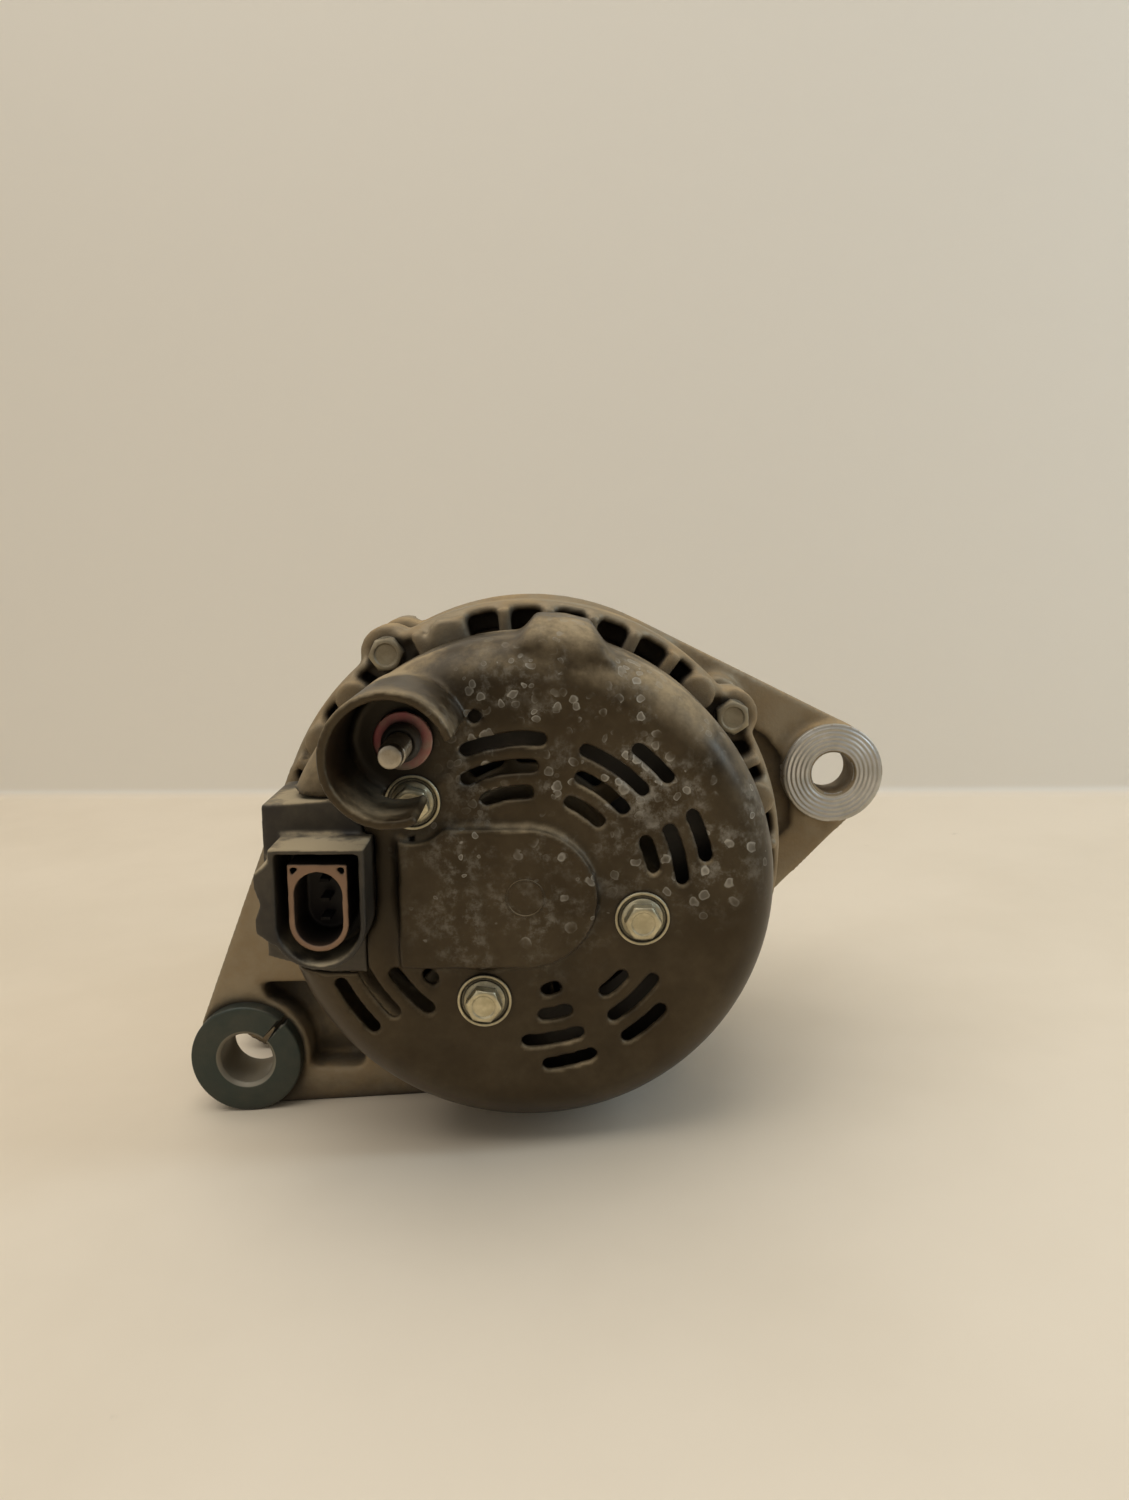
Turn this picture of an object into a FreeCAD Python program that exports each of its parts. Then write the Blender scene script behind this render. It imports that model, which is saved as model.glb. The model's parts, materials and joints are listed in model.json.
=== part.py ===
"""Car alternator: two cast frames clamped round a stator, a claw-pole rotor in ball
bearings, and a rear cover over the rectifier, regulator and brushes.

Drawing frame: the rotor turns about Y, the pulley is at +Y, the rear cover's face lies at
y = 0, X points right and Z up seen from behind.  Every piece is then turned about Y by the
lean angle, so that the two left ears and the drum stand level, and moved along Y until the
middle of the belt track is at the origin.
"""
import FreeCAD, Part
import Sketcher
import math
import os
import re

sizes = {
    # frames and stator
    "flange_radius": 66.6,
    "skirt_radius": 65.0,
    "core_radius": 61.0,
    "core_bore": 44.6,
    "core_start": 46.0,
    "core_length": 30.0,
    "wall_edge_radius": 58.0,
    "ring_radius": 64.2,
    "rear_wall_start": 31.0,
    "wall": 4.0,
    "rear_flange_start": 36.0,
    "rear_ear_start": 35.0,
    "rear_ear_thick": 12.0,
    "front_flange_start": 70.0,
    "front_wall_start": 88.0,
    "grip": 4.0,
    "front_grip": 10.0,
    "rib_count": 35,
    "rib_width": 3.0,
    # ears
    "left_ear_reach": 95.5,
    "left_ear_angle": -143.7,
    "left_ear_radius": 14.9,
    "right_ear_reach": 88.6,
    "right_ear_angle": 9.9,
    "right_ear_radius": 14.4,
    "ear_bore": 6.1,
    "bush_bore": 7.0,
    "bush_sleeve": 9.6,
    "bush_flange": 4.6,
    "bush_slit": 1.3,
    "right_boss_start": 65.7,
    "right_boss_length": 14.0,
    "right_web_thick": 7.0,
    "pocket_depth": 10.0,
    "front_left_start": 70.0,
    "front_left_length": 16.0,
    "bolt_head_room": 0.8,
    "dome_radius": 4.6,
    "dome_round": 3.8,
    "cover_pad_radius": 5.6,
    # through bolts
    "bolt_circle": 64.2,
    "bolt_angle": 34.6,
    "bolt_boss": 7.2,
    "bolt_boss_start": 38.0,
    "bolt_radius": 2.4,
    "bolt_flats": 8.0,
    "bolt_head": 4.2,
    # rear cover
    "cover_radius": 60.0,
    "cover_depth": 28.5,
    "cover_wall": 2.2,
    "cover_round": 11.0,
    "bulge_radius": 17.0,
    "bulge_left": 29.5,
    "bulge_height": 3.0,
    "slot_width": 3.1,
    "slot_ring": 24.4,
    "slot_pitch": 6.25,
    "tab_radius": 64.3,
    "tab_start": 7.0,
    "cover_bolt_reach": 28.0,
    "third_bolt_reach": 34.2,
    "cover_bolt_radius": 2.4,
    "cover_bolt_flats": 7.0,
    "cover_bolt_head": 4.0,
    "eyelet_radius": 6.5,
    "eyelet_sleeve": 3.5,
    "eyelet_thick": 1.0,
    # battery terminal
    "tube_x": -27.4,
    "tube_z": 37.2,
    "tube_radius": 14.5,
    "tube_wall": 2.0,
    "tube_length": 28.4,
    "tube_root": 12.0,
    "notch_floor": 0.3,
    "bolt_well": 6.7,
    "bulge_step": 2.6,
    "stud_radius": 3.0,
    "stud_shank": 2.7,
    "stud_length": 23.8,
    "stud_root": 22.0,
    "washer_radius": 6.75,
    "washer_thick": 1.2,
    "washer_start": -3.9,
    "nut_radius": 4.4,
    "nut_length": 4.6,
    "insulator_radius": 5.2,
    # regulator and socket
    "case_left": -61.2,
    "case_right": -37.8,
    "case_bottom": -19.4,
    "case_top": 21.3,
    "case_depth": 27.0,
    "socket_x": -46.1,
    "socket_half": 10.7,
    "socket_top": 14.5,
    "socket_round_z": -3.0,
    "socket_reach": 13.0,
    "socket_wall": 1.3,
    "liner_half": 6.7,
    "liner_top": 10.7,
    "liner_wall": 1.3,
    "liner_set_back": 1.2,
    "liner_pocket": 2.1,
    "pin_set_back": 8.5,
    "socket_floor": 2.0,
    "pin_width": 2.2,
    "pin_thick": 0.8,
    # rectifier
    "plate_inner": 38.6,
    "plate_outer": 55.0,
    "plus_start": 17.0,
    "minus_start": 25.0,
    "plate_thick": 3.0,
    "diode_radius": 5.6,
    "diode_circle": 46.6,
    "terminal_start": 11.0,
    "terminal_thick": 3.0,
    # brushes and slip rings
    "slip_radius": 7.2,
    "slip_width": 5.6,
    "slip_first": 12.5,
    "slip_spacing": 8.0,
    "brush_gap": 0.3,
    "brush_width": 4.4,
    "brush_height": 6.0,
    "brush_length": 12.0,
    "brush_clearance": 0.35,
    "spring_radius": 1.9,
    "spring_wire": 0.7,
    "spring_length": 10.5,
    "holder_wall": 1.6,
    # rotor
    "pole_radius": 44.1,
    "pole_disc_radius": 37.0,
    "pole_start": 43.0,
    "pole_thick": 9.0,
    "pole_span": 36.0,
    "claw_length": 33.0,
    "claw_count": 8,
    "claw_root": 15.0,
    "claw_tip": 7.0,
    "claw_thick": 7.0,
    "coil_inner": 15.0,
    "coil_outer": 34.0,
    "bobbin_wall": 1.2,
    "shaft_radius": 8.5,
    "rear_shaft_radius": 6.0,
    "slip_shaft_radius": 4.6,
    "thread_radius": 8.0,
    "shaft_rear": 6.5,
    "shaft_front": 130.0,
    "fan_plate": 1.5,
    "fan_blade": 5.0,
    "fan_inner": 24.0,
    "front_fan_inner": 32.5,
    "fan_radius": 42.0,
    "fan_blades": 11,
    # bearings
    "rear_bearing_start": 28.0,
    "rear_bearing_width": 10.0,
    "rear_bearing_radius": 16.0,
    "rear_ball_circle": 11.0,
    "rear_ball": 3.0,
    "front_bearing_start": 84.0,
    "front_bearing_width": 14.0,
    "front_bearing_radius": 23.5,
    "front_ball_circle": 16.0,
    "front_ball": 4.3,
    "ball_clearance": 0.3,
    "boss_wall": 5.0,
    "front_boss_wall": 6.5,
    "retainer_thick": 1.5,
    # pulley
    "collar_length": 3.0,
    "collar_radius": 13.0,
    "pulley_radius": 27.5,
    "groove_count": 6,
    "groove_pitch": 3.56,
    "groove_depth": 2.9,
    "pulley_lip": 1.6,
    "pulley_rim": 3.0,
    "pulley_hub": 15.0,
    "nut_flats": 24.0,
    "nut_thick": 10.0,
}

doc = FreeCAD.newDocument("alternator")
sheet = doc.addObject("Spreadsheet::Sheet", "Sizes")
for row, (alias, number) in enumerate(sizes.items(), 1):
    sheet.set(f"A{row}", alias)
    sheet.set(f"B{row}", str(number))
    sheet.setAlias(f"B{row}", alias)
doc.recompute()

words = re.compile(r"\b(" + "|".join(sorted(sizes, key=len, reverse=True)) + r")\b")
along_y = FreeCAD.Rotation(FreeCAD.Vector(1, 0, 0), -90)
upright = FreeCAD.Rotation(FreeCAD.Vector(1, 0, 0), 90)
finished = []


def linked(text):
    """The formula with each alias pointed at the sheet."""
    return words.sub(r"Sizes.\1", str(text))


def worth(text):
    """What a formula is worth now."""
    return float(sheet.evalExpression(linked(text)))


def bind(thing, **formulas):
    for name, text in formulas.items():
        thing.setExpression(name.replace("__", "."), linked(text))


def polar(reach, angle):
    """Formulas for X and Z of a point at that reach and angle from the rotor axis."""
    return f"({reach}) * cos({angle})", f"({reach}) * sin({angle})"


def cylinder(name, radius, start, length, x="0", z="0"):
    """A cylinder along Y, from start, round the axis through x, z."""
    made = doc.addObject("Part::Cylinder", name)
    made.Placement.Rotation = along_y
    bind(made, Radius=radius, Height=length, Placement__Base__x=x,
         Placement__Base__y=start, Placement__Base__z=z)
    return made


def hexagon(name, flats, start, length, x="0", z="0"):
    made = doc.addObject("Part::Prism", name)
    made.Polygon = 6
    made.Placement.Rotation = along_y
    bind(made, Circumradius=f"({flats}) / 2 / cos(30)", Height=length, Placement__Base__x=x,
         Placement__Base__y=start, Placement__Base__z=z)
    return made


def block(name, x, y, z):
    """A box; x, y and z are each (low, high)."""
    made = doc.addObject("Part::Box", name)
    bind(made, Length=f"({x[1]}) - ({x[0]})", Width=f"({y[1]}) - ({y[0]})",
         Height=f"({z[1]}) - ({z[0]})", Placement__Base__x=x[0],
         Placement__Base__y=y[0], Placement__Base__z=z[0])
    return made


def turned_block(name, reach, y, width, angle):
    """A box that runs outwards along a spoke; reach and y are each (low, high)."""
    made = doc.addObject("Part::Box", name)
    made.Placement.Rotation = FreeCAD.Rotation(FreeCAD.Vector(0, 1, 0), -angle)
    bind(made, Length=f"({reach[1]}) - ({reach[0]})", Width=f"({y[1]}) - ({y[0]})",
         Height=width, Placement__Base__y=y[0],
         Placement__Base__x=f"({reach[0]}) * cos({angle}) + ({width}) / 2 * sin({angle})",
         Placement__Base__z=f"({reach[0]}) * sin({angle}) - ({width}) / 2 * cos({angle})")
    return made


def ball(name, radius, x, y, z):
    made = doc.addObject("Part::Sphere", name)
    bind(made, Radius=radius, Placement__Base__x=x, Placement__Base__y=y,
         Placement__Base__z=z)
    return made


def fused(name, pieces):
    made = doc.addObject("Part::MultiFuse", name)
    made.Shapes = pieces
    made.Refine = False
    return made


def cut(name, base, *tools):
    made = doc.addObject("Part::Cut", name)
    made.Base = base
    made.Tool = tools[0] if len(tools) == 1 else fused(name + "_tools", list(tools))
    made.Refine = False
    return made


def common(name, pieces):
    made = doc.addObject("Part::MultiCommon", name)
    made.Shapes = pieces
    made.Refine = False
    return made


def dome(name, radius, rounding, start, length, x, z):
    """A post along Y with its rear end rounded."""
    post = cylinder(name + "_post", radius, start, length, x, z)
    made = doc.addObject("Part::Fillet", name)
    made.Base = post
    rear_circle = 3
    made.Edges = [(rear_circle, worth(rounding), worth(rounding))]
    return made


def tube(name, radius, bore, start, length, x="0", z="0"):
    outer = cylinder(name + "_outer", radius, start, length, x, z)
    inner = cylinder(name + "_bore", bore, f"({start}) - 1", f"({length}) + 2", x, z)
    return cut(name, outer, inner)


def draw_outline(sketch, corners):
    """A closed outline of straight lines, each corner held at its own two formulas."""
    points = [FreeCAD.Vector(worth(a), worth(b), 0) for a, b in corners]
    for i, point in enumerate(points):
        sketch.addGeometry(Part.LineSegment(point, points[(i + 1) % len(points)]))
    for i in range(len(points)):
        sketch.addConstraint(Sketcher.Constraint("Coincident", i, 2, (i + 1) % len(points), 1))
    for i, (across, up) in enumerate(corners):
        for kind, text, value in (("DistanceX", across, points[i].x), ("DistanceY", up, points[i].y)):
            index = sketch.addConstraint(Sketcher.Constraint(kind, -1, 1, i, 1, value))
            sketch.setExpression(f"Constraints[{index}]", linked(text))


def prism(name, corners, start, length):
    """An outline in X and Z, drawn out along Y."""
    outline = doc.addObject("Sketcher::SketchObject", name + "_outline")
    outline.Placement.Rotation = upright
    bind(outline, Placement__Base__y=start)
    draw_outline(outline, corners)
    made = doc.addObject("Part::Extrusion", name)
    made.Base = outline
    made.DirMode = "Custom"
    made.Dir = FreeCAD.Vector(0, 1, 0)
    made.Solid = True
    bind(made, LengthFwd=length)
    return made


def turned(name, profile):
    """A body turned about Y; the profile's corners are (radius, station along Y)."""
    body = doc.addObject("PartDesign::Body", name)
    sketch = body.newObject("Sketcher::SketchObject", name + "_profile")
    plane = [o for o in body.Origin.OriginFeatures if o.Role == "XY_Plane"][0]
    sketch.AttachmentSupport = [(plane, "")]
    sketch.MapMode = "FlatFace"
    draw_outline(sketch, profile)
    spin = body.newObject("PartDesign::Revolution", name + "_turning")
    spin.Profile = sketch
    spin.ReferenceAxis = (sketch, ["V_Axis"])
    spin.Angle = 360
    body.Tip = spin
    doc.recompute()
    return body


def round_rim(body, radius, station, fillet):
    """Rounds the circular edges of that radius at that station."""
    base = body.Tip
    named = [f"Edge{i}" for i, edge in enumerate(base.Shape.Edges, 1)
             if hasattr(edge.Curve, "Radius") and abs(edge.Curve.Radius - worth(radius)) < 1e-6
             and abs(edge.CenterOfMass.y - worth(station)) < 1e-6]
    rounding = body.newObject("PartDesign::Fillet", body.Name + "_rounding")
    rounding.Base = (base, named)
    bind(rounding, Radius=fillet)
    body.Tip = rounding
    doc.recompute()


def each_angle(count, first=0.0):
    return [first + 360.0 * i / count for i in range(int(count))]


def turn_between(angle, other):
    """Degrees between an angle and the angle that a formula gives."""
    return abs((angle - worth(other) + 180) % 360 - 180)


def ear_web(name, radius, reach, angle, ear_radius, start, length):
    """The plate between the two lines that touch the drum's circle and the ear's circle."""
    spread = f"acos((({radius}) - ({ear_radius})) / ({reach})) / 1 deg"
    ear = polar(reach, angle)
    corners = []
    for side, order in (("+", (0, 1)), ("-", (1, 0))):
        way = f"({angle} {side} {spread})"
        drum_point = polar(radius, way)
        tip = polar(ear_radius, way)
        pair = [drum_point, (f"{ear[0]} + {tip[0]}", f"{ear[1]} + {tip[1]}")]
        corners += [pair[order[0]], pair[order[1]]]
    return prism(name, corners, start, length)


def node(label, thing):
    """Names a finished piece and takes it from the drawing frame to the part's own frame."""
    thing.Label = label
    finished.append(thing)
    return thing


# Stations and angles that several pieces share.
core_end = "(core_start + core_length)"
rear_end = "(core_start + grip)"
front_start = f"({core_end} - front_grip)"
front_wall_end = "(front_wall_start + wall)"
rear_boss = "(rear_bearing_radius + boss_wall)"
front_boss = "(front_bearing_radius + front_boss_wall)"
front_boss_end = "(front_bearing_start + front_bearing_width + 1)"
rear_ear_end = "(rear_ear_start + rear_ear_thick)"
through_angles = each_angle(4, sizes["bolt_angle"])
left_ear = polar("left_ear_reach", "left_ear_angle")
right_ear = polar("right_ear_reach", "right_ear_angle")
cover_bolts = [polar("cover_bolt_reach", "-12"), polar("cover_bolt_reach", "-110.8"),
               polar("third_bolt_reach", "139.4")]
collar_start = "(front_bearing_start + front_bearing_width)"
pulley_start = f"({collar_start} + collar_length)"
rim_start = f"({pulley_start} + 1)"
rim_length = "(groove_count * groove_pitch + 2 * pulley_lip)"
belt_plane = f"({rim_start} + {rim_length} / 2)"
nut_start = f"({pulley_start} + 16)"


def rear_housing():
    profile = [
        ("rear_bearing_radius", "rear_bearing_start - 1"),
        (rear_boss, "rear_bearing_start - 1"),
        (rear_boss, "rear_wall_start"),
        ("wall_edge_radius - 2", "rear_wall_start"),
        ("wall_edge_radius", "rear_wall_start + 2"),
        ("wall_edge_radius", "rear_wall_start + wall"),
        (rear_boss, "rear_wall_start + wall"),
        (rear_boss, "rear_bearing_start + rear_bearing_width"),
        ("rear_bearing_radius", "rear_bearing_start + rear_bearing_width"),
    ]
    hub = turned("rear_hub", profile)
    ring = turned("rear_ring", [
        ("ring_radius", "rear_flange_start"),
        ("flange_radius - 0.8", "rear_flange_start"),
        ("flange_radius", "rear_flange_start + 0.8"),
        ("flange_radius", f"{rear_end} - 1"),
        ("flange_radius - 1", rear_end),
        ("core_radius", rear_end),
        ("core_radius", "core_start"),
        ("core_radius - 1.5", "core_start"),
        ("core_radius - 1.5", "core_start - 2"),
        ("ring_radius", "core_start - 3"),
    ])
    ribs = [turned_block(f"rear_rib_{i}", ("wall_edge_radius - 2", "ring_radius + 1"),
                         ("rear_wall_start + 1", "core_start - 1"), "rib_width", angle)
            for i, angle in enumerate(each_angle(sizes["rib_count"], 3.0))]
    web = ear_web("rear_ear_web", "flange_radius", "left_ear_reach", "left_ear_angle",
                  "left_ear_radius", "rear_ear_start", "rear_ear_thick")
    hollow = cylinder("rear_ear_hollow", "wall_edge_radius - 1", "rear_ear_start - 1",
                      "core_start - rear_ear_start + 1")
    core_room = cylinder("rear_ear_core_room", "core_radius", "core_start", "rear_ear_thick")
    ear_x, ear_z = left_ear
    pocket = prism("ear_pocket", [
        (f"{ear_x} + 3.5", f"{ear_z} + 20.5"), (f"{ear_x} + 25", f"{ear_z} + 20.5"),
        (f"{ear_x} + 31.5", f"{ear_z} + 12.5"), (f"{ear_x} + 31.5", f"{ear_z} - 4"),
        (f"{ear_x} + 15", f"{ear_z} - 4")],
        "rear_ear_start - 1", "pocket_depth + 1")
    boss_room = cylinder("ear_boss_room", "left_ear_radius + 1.7", "rear_ear_start - 2",
                         "rear_ear_thick", *left_ear)
    web_cut = cut("rear_ear_plate", web, hollow, core_room, cut("ear_recess", pocket, boss_room))
    ear_boss = cylinder("rear_ear_boss", "left_ear_radius", "rear_ear_start + 1",
                        "rear_ear_thick - 1", *left_ear)
    bosses = []
    bores = [cylinder("rear_ear_bore", "bush_sleeve", "rear_ear_start - 1",
                      "rear_ear_thick + 2", *left_ear),
             cylinder("bush_flange_seat", "left_ear_radius + 0.1", "rear_ear_start - 1", "2",
                      *left_ear)]
    for i, angle in enumerate(through_angles):
        x, z = polar("bolt_circle", angle)
        bosses.append(cylinder(f"rear_bolt_boss_{i}", "bolt_boss", "bolt_boss_start",
                               f"{rear_end} - bolt_boss_start", x, z))
        bores.append(cylinder(f"rear_bolt_bore_{i}", "bolt_radius + 0.3",
                              "bolt_boss_start - 1", f"{rear_end} - bolt_boss_start + 2", x, z))
        bores.append(cylinder(f"bolt_head_room_{i}", "bolt_flats / 2 / cos(30) + bolt_head_room",
                              "rear_wall_start - 2", "bolt_boss_start - rear_wall_start + 2",
                              x, z))
    domes = []
    for i, angle in enumerate((109.5, 45.0, 14.5, 137.0, 150.0, -30.0, -80.0)):
        x, z = polar("wall_edge_radius + 3.2", angle)
        domes.append(dome(f"dome_{i}", "dome_radius", "dome_round", "rear_wall_start + 0.4",
                          "core_start - rear_wall_start - 1.8", x, z))
    pads = []
    for i, (x, z) in enumerate(cover_bolts):
        pads.append(cylinder(f"cover_pad_{i}", "cover_pad_radius", "cover_depth",
                             "rear_wall_start + wall - cover_depth", x, z))
        bores.append(cylinder(f"cover_pad_bore_{i}", "cover_bolt_radius",
                              "cover_depth - 1", "wall + 5", x, z))
    vents = [sector(f"rear_vent_{i}", f"{rear_boss} + 4", "core_bore + 2.4",
                    "rear_wall_start - 1", "wall + 2", angle, angle + 20)
             for i, angle in enumerate((14, 46, 78, 104, -48, -80, -150, 170))]
    body = fused("rear_casting", [hub, ring, web_cut, ear_boss] + ribs + bosses + domes + pads)
    core_space = cylinder("core_space", "core_radius", "core_start", "core_length")
    room = cylinder("winding_room", "wall_edge_radius - 0.2", "rear_wall_start + wall",
                    "core_start - rear_wall_start - wall")
    keep_boss = cylinder("winding_room_boss", rear_boss, "rear_bearing_start",
                         "rear_bearing_width")
    return cut("rear_housing", body, cut("winding_space", room, keep_boss), core_space,
               *bores, *vents)


def sector(name, inner, outer, start, length, low, high):
    """Part of a ring between two angles, measured from +X towards +Z."""
    wedge = doc.addObject("Part::Cylinder", name + "_wedge")
    turn = FreeCAD.Rotation(FreeCAD.Vector(0, 1, 0), -high)
    wedge.Placement.Rotation = turn.multiply(along_y)
    bind(wedge, Radius=outer, Height=length, Angle=str(high - low), Placement__Base__y=start)
    inside = cylinder(name + "_inside", inner, f"({start}) - 1", f"({length}) + 2")
    return cut(name, wedge, inside)


def front_housing():
    shell = turned("front_shell", [
        ("front_bearing_radius", "front_bearing_start"),
        (front_boss, "front_bearing_start"),
        (front_boss, "front_wall_start"),
        ("core_radius - 5", "front_wall_start"),
        ("core_radius - 1.5", "front_wall_start - 4"),
        ("core_radius - 1.5", core_end),
        ("core_radius", core_end),
        ("core_radius", front_start),
        ("skirt_radius", front_start),
        ("skirt_radius", "front_flange_start"),
        ("flange_radius", "front_flange_start"),
        ("flange_radius", "front_flange_start + 5"),
        ("skirt_radius", "front_flange_start + 6"),
        ("skirt_radius", "front_wall_start - 3"),
        ("skirt_radius - 7", front_wall_end),
        (f"{front_boss} + 1", front_wall_end),
        (front_boss, f"{front_boss_end} - 2"),
        (f"{front_boss} - 2", front_boss_end),
        ("front_bearing_radius - 3", front_boss_end),
        ("front_bearing_radius - 3", collar_start),
        ("front_bearing_radius", collar_start),
    ])
    right_web = ear_web("right_ear_web", "flange_radius", "right_ear_reach", "right_ear_angle",
                        "right_ear_radius", "front_flange_start", "right_web_thick")
    ear_x, ear_z = right_ear
    recess = prism("right_recess", [
        (f"{ear_x} - 27", f"{ear_z} + 15"), (f"{ear_x} - 19", f"{ear_z} + 10"),
        (f"{ear_x} - 12", f"{ear_z} + 1"), (f"{ear_x} - 11", f"{ear_z} - 17"),
        (f"{ear_x} - 19", f"{ear_z} - 24"), (f"{ear_x} - 27", f"{ear_z} - 24")],
        "front_flange_start - 1", "5")
    right_boss = cylinder("right_ear_boss", "right_ear_radius", "right_boss_start",
                          "right_boss_length", *right_ear)
    left_web = ear_web("front_left_web", "flange_radius", "left_ear_reach", "left_ear_angle",
                       "left_ear_radius", "front_left_start + 2", "front_left_length - 4")
    left_boss = cylinder("front_left_boss", "left_ear_radius", "front_left_start",
                         "front_left_length", *left_ear)
    inside = cylinder("front_inside", "skirt_radius - 1", "front_flange_start - 2", "20")
    bosses = []
    bores = []
    for i, angle in enumerate(through_angles):
        x, z = polar("bolt_circle", angle)
        bosses.append(cylinder(f"front_bolt_boss_{i}", "bolt_boss", front_start, "16", x, z))
        bores.append(cylinder(f"front_bolt_bore_{i}", "bolt_radius", f"{front_start} - 1",
                              "15", x, z))
    bores.append(cylinder("right_bore", "ear_bore", "right_boss_start - 1",
                          "right_boss_length + 2", *right_ear))
    bores.append(cylinder("front_left_bore", "ear_bore", "front_left_start - 1",
                          "front_left_length + 2", *left_ear))
    for i, angle in enumerate(each_angle(4, 45.0)):
        x, z = polar("front_bearing_radius + front_boss_wall / 2", angle)
        bores.append(cylinder(f"retainer_bore_{i}", "1.7", "front_bearing_start - 1", "9", x, z))
    vents = [sector(f"front_vent_{i}", f"{front_boss} + 3", "core_radius - 7", "front_wall_start - 1",
                    "wall + 2", angle, angle + 17)
             for i, angle in enumerate(each_angle(14, 4.0))]
    windows = [turned_block(f"front_window_{i}", ("core_radius - 4", "flange_radius + 1"),
                            (f"{core_end} + 2", "front_wall_start - 2"), "7", angle)
               for i, angle in enumerate(each_angle(28, 5.0))
               if turn_between(angle, "left_ear_angle") > 24
               and turn_between(angle, "right_ear_angle") > 20]
    webs = cut("front_webs", fused("front_web_pair", [right_web, left_web]), inside, recess)
    body = fused("front_casting", [shell, webs, right_boss, left_boss] + bosses)
    core_space = cylinder("front_core_space", "core_radius", "core_start", "core_length")
    clear = cylinder("front_room", "core_radius - 1.5", core_end, "8")
    return cut("front_housing", body, core_space, clear, *bores, *vents, *windows)


def arc_slot(ring, low, high):
    """A round-ended slot along a circle about the rotor axis, as a tool that cuts along Y."""
    reach = worth("slot_ring") + ring * worth("slot_pitch")
    half = worth("slot_width") / 2
    trim = math.degrees(half / reach)
    axis = FreeCAD.Vector(0, -1, 0)
    centre = FreeCAD.Vector(0, -10, 0)

    def at(radius, angle):
        turn = math.radians(angle)
        return FreeCAD.Vector(radius * math.cos(turn), -10, radius * math.sin(turn))

    low, high = low + trim, high - trim
    middle = (low + high) / 2
    tip = math.degrees(half / reach)
    edges = [
        Part.Arc(at(reach + half, low), at(reach + half, middle), at(reach + half, high)).toShape(),
        Part.Arc(at(reach + half, high), at(reach, high + tip), at(reach - half, high)).toShape(),
        Part.Arc(at(reach - half, high), at(reach - half, middle), at(reach - half, low)).toShape(),
        Part.Arc(at(reach - half, low), at(reach, low - tip), at(reach + half, low)).toShape(),
    ]
    return Part.Face(Part.Wire(edges)).extrude(FreeCAD.Vector(0, 30, 0))


slot_groups = {
    "upper_right": [(0, 42, 68), (1, 39, 68), (2, 40, 70), (3, 38, 55)],
    "right": [(1, 9, 27), (2, 3, 27), (3, 10, 28)],
    "lower_right": [(1, -55, -39), (2, -58, -33), (3, -58, -40)],
    "bottom": [(0, -82, -70), (1, -85, -69), (2, -92, -68), (3, -85, -67)],
    "lower_left": [(1, -142, -134), (2, -150, -127), (3, -155, -135), (4, -155, -136)],
    "top": [(0, 85, 115), (1, 84, 119), (2, 82, 114)],
}


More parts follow.
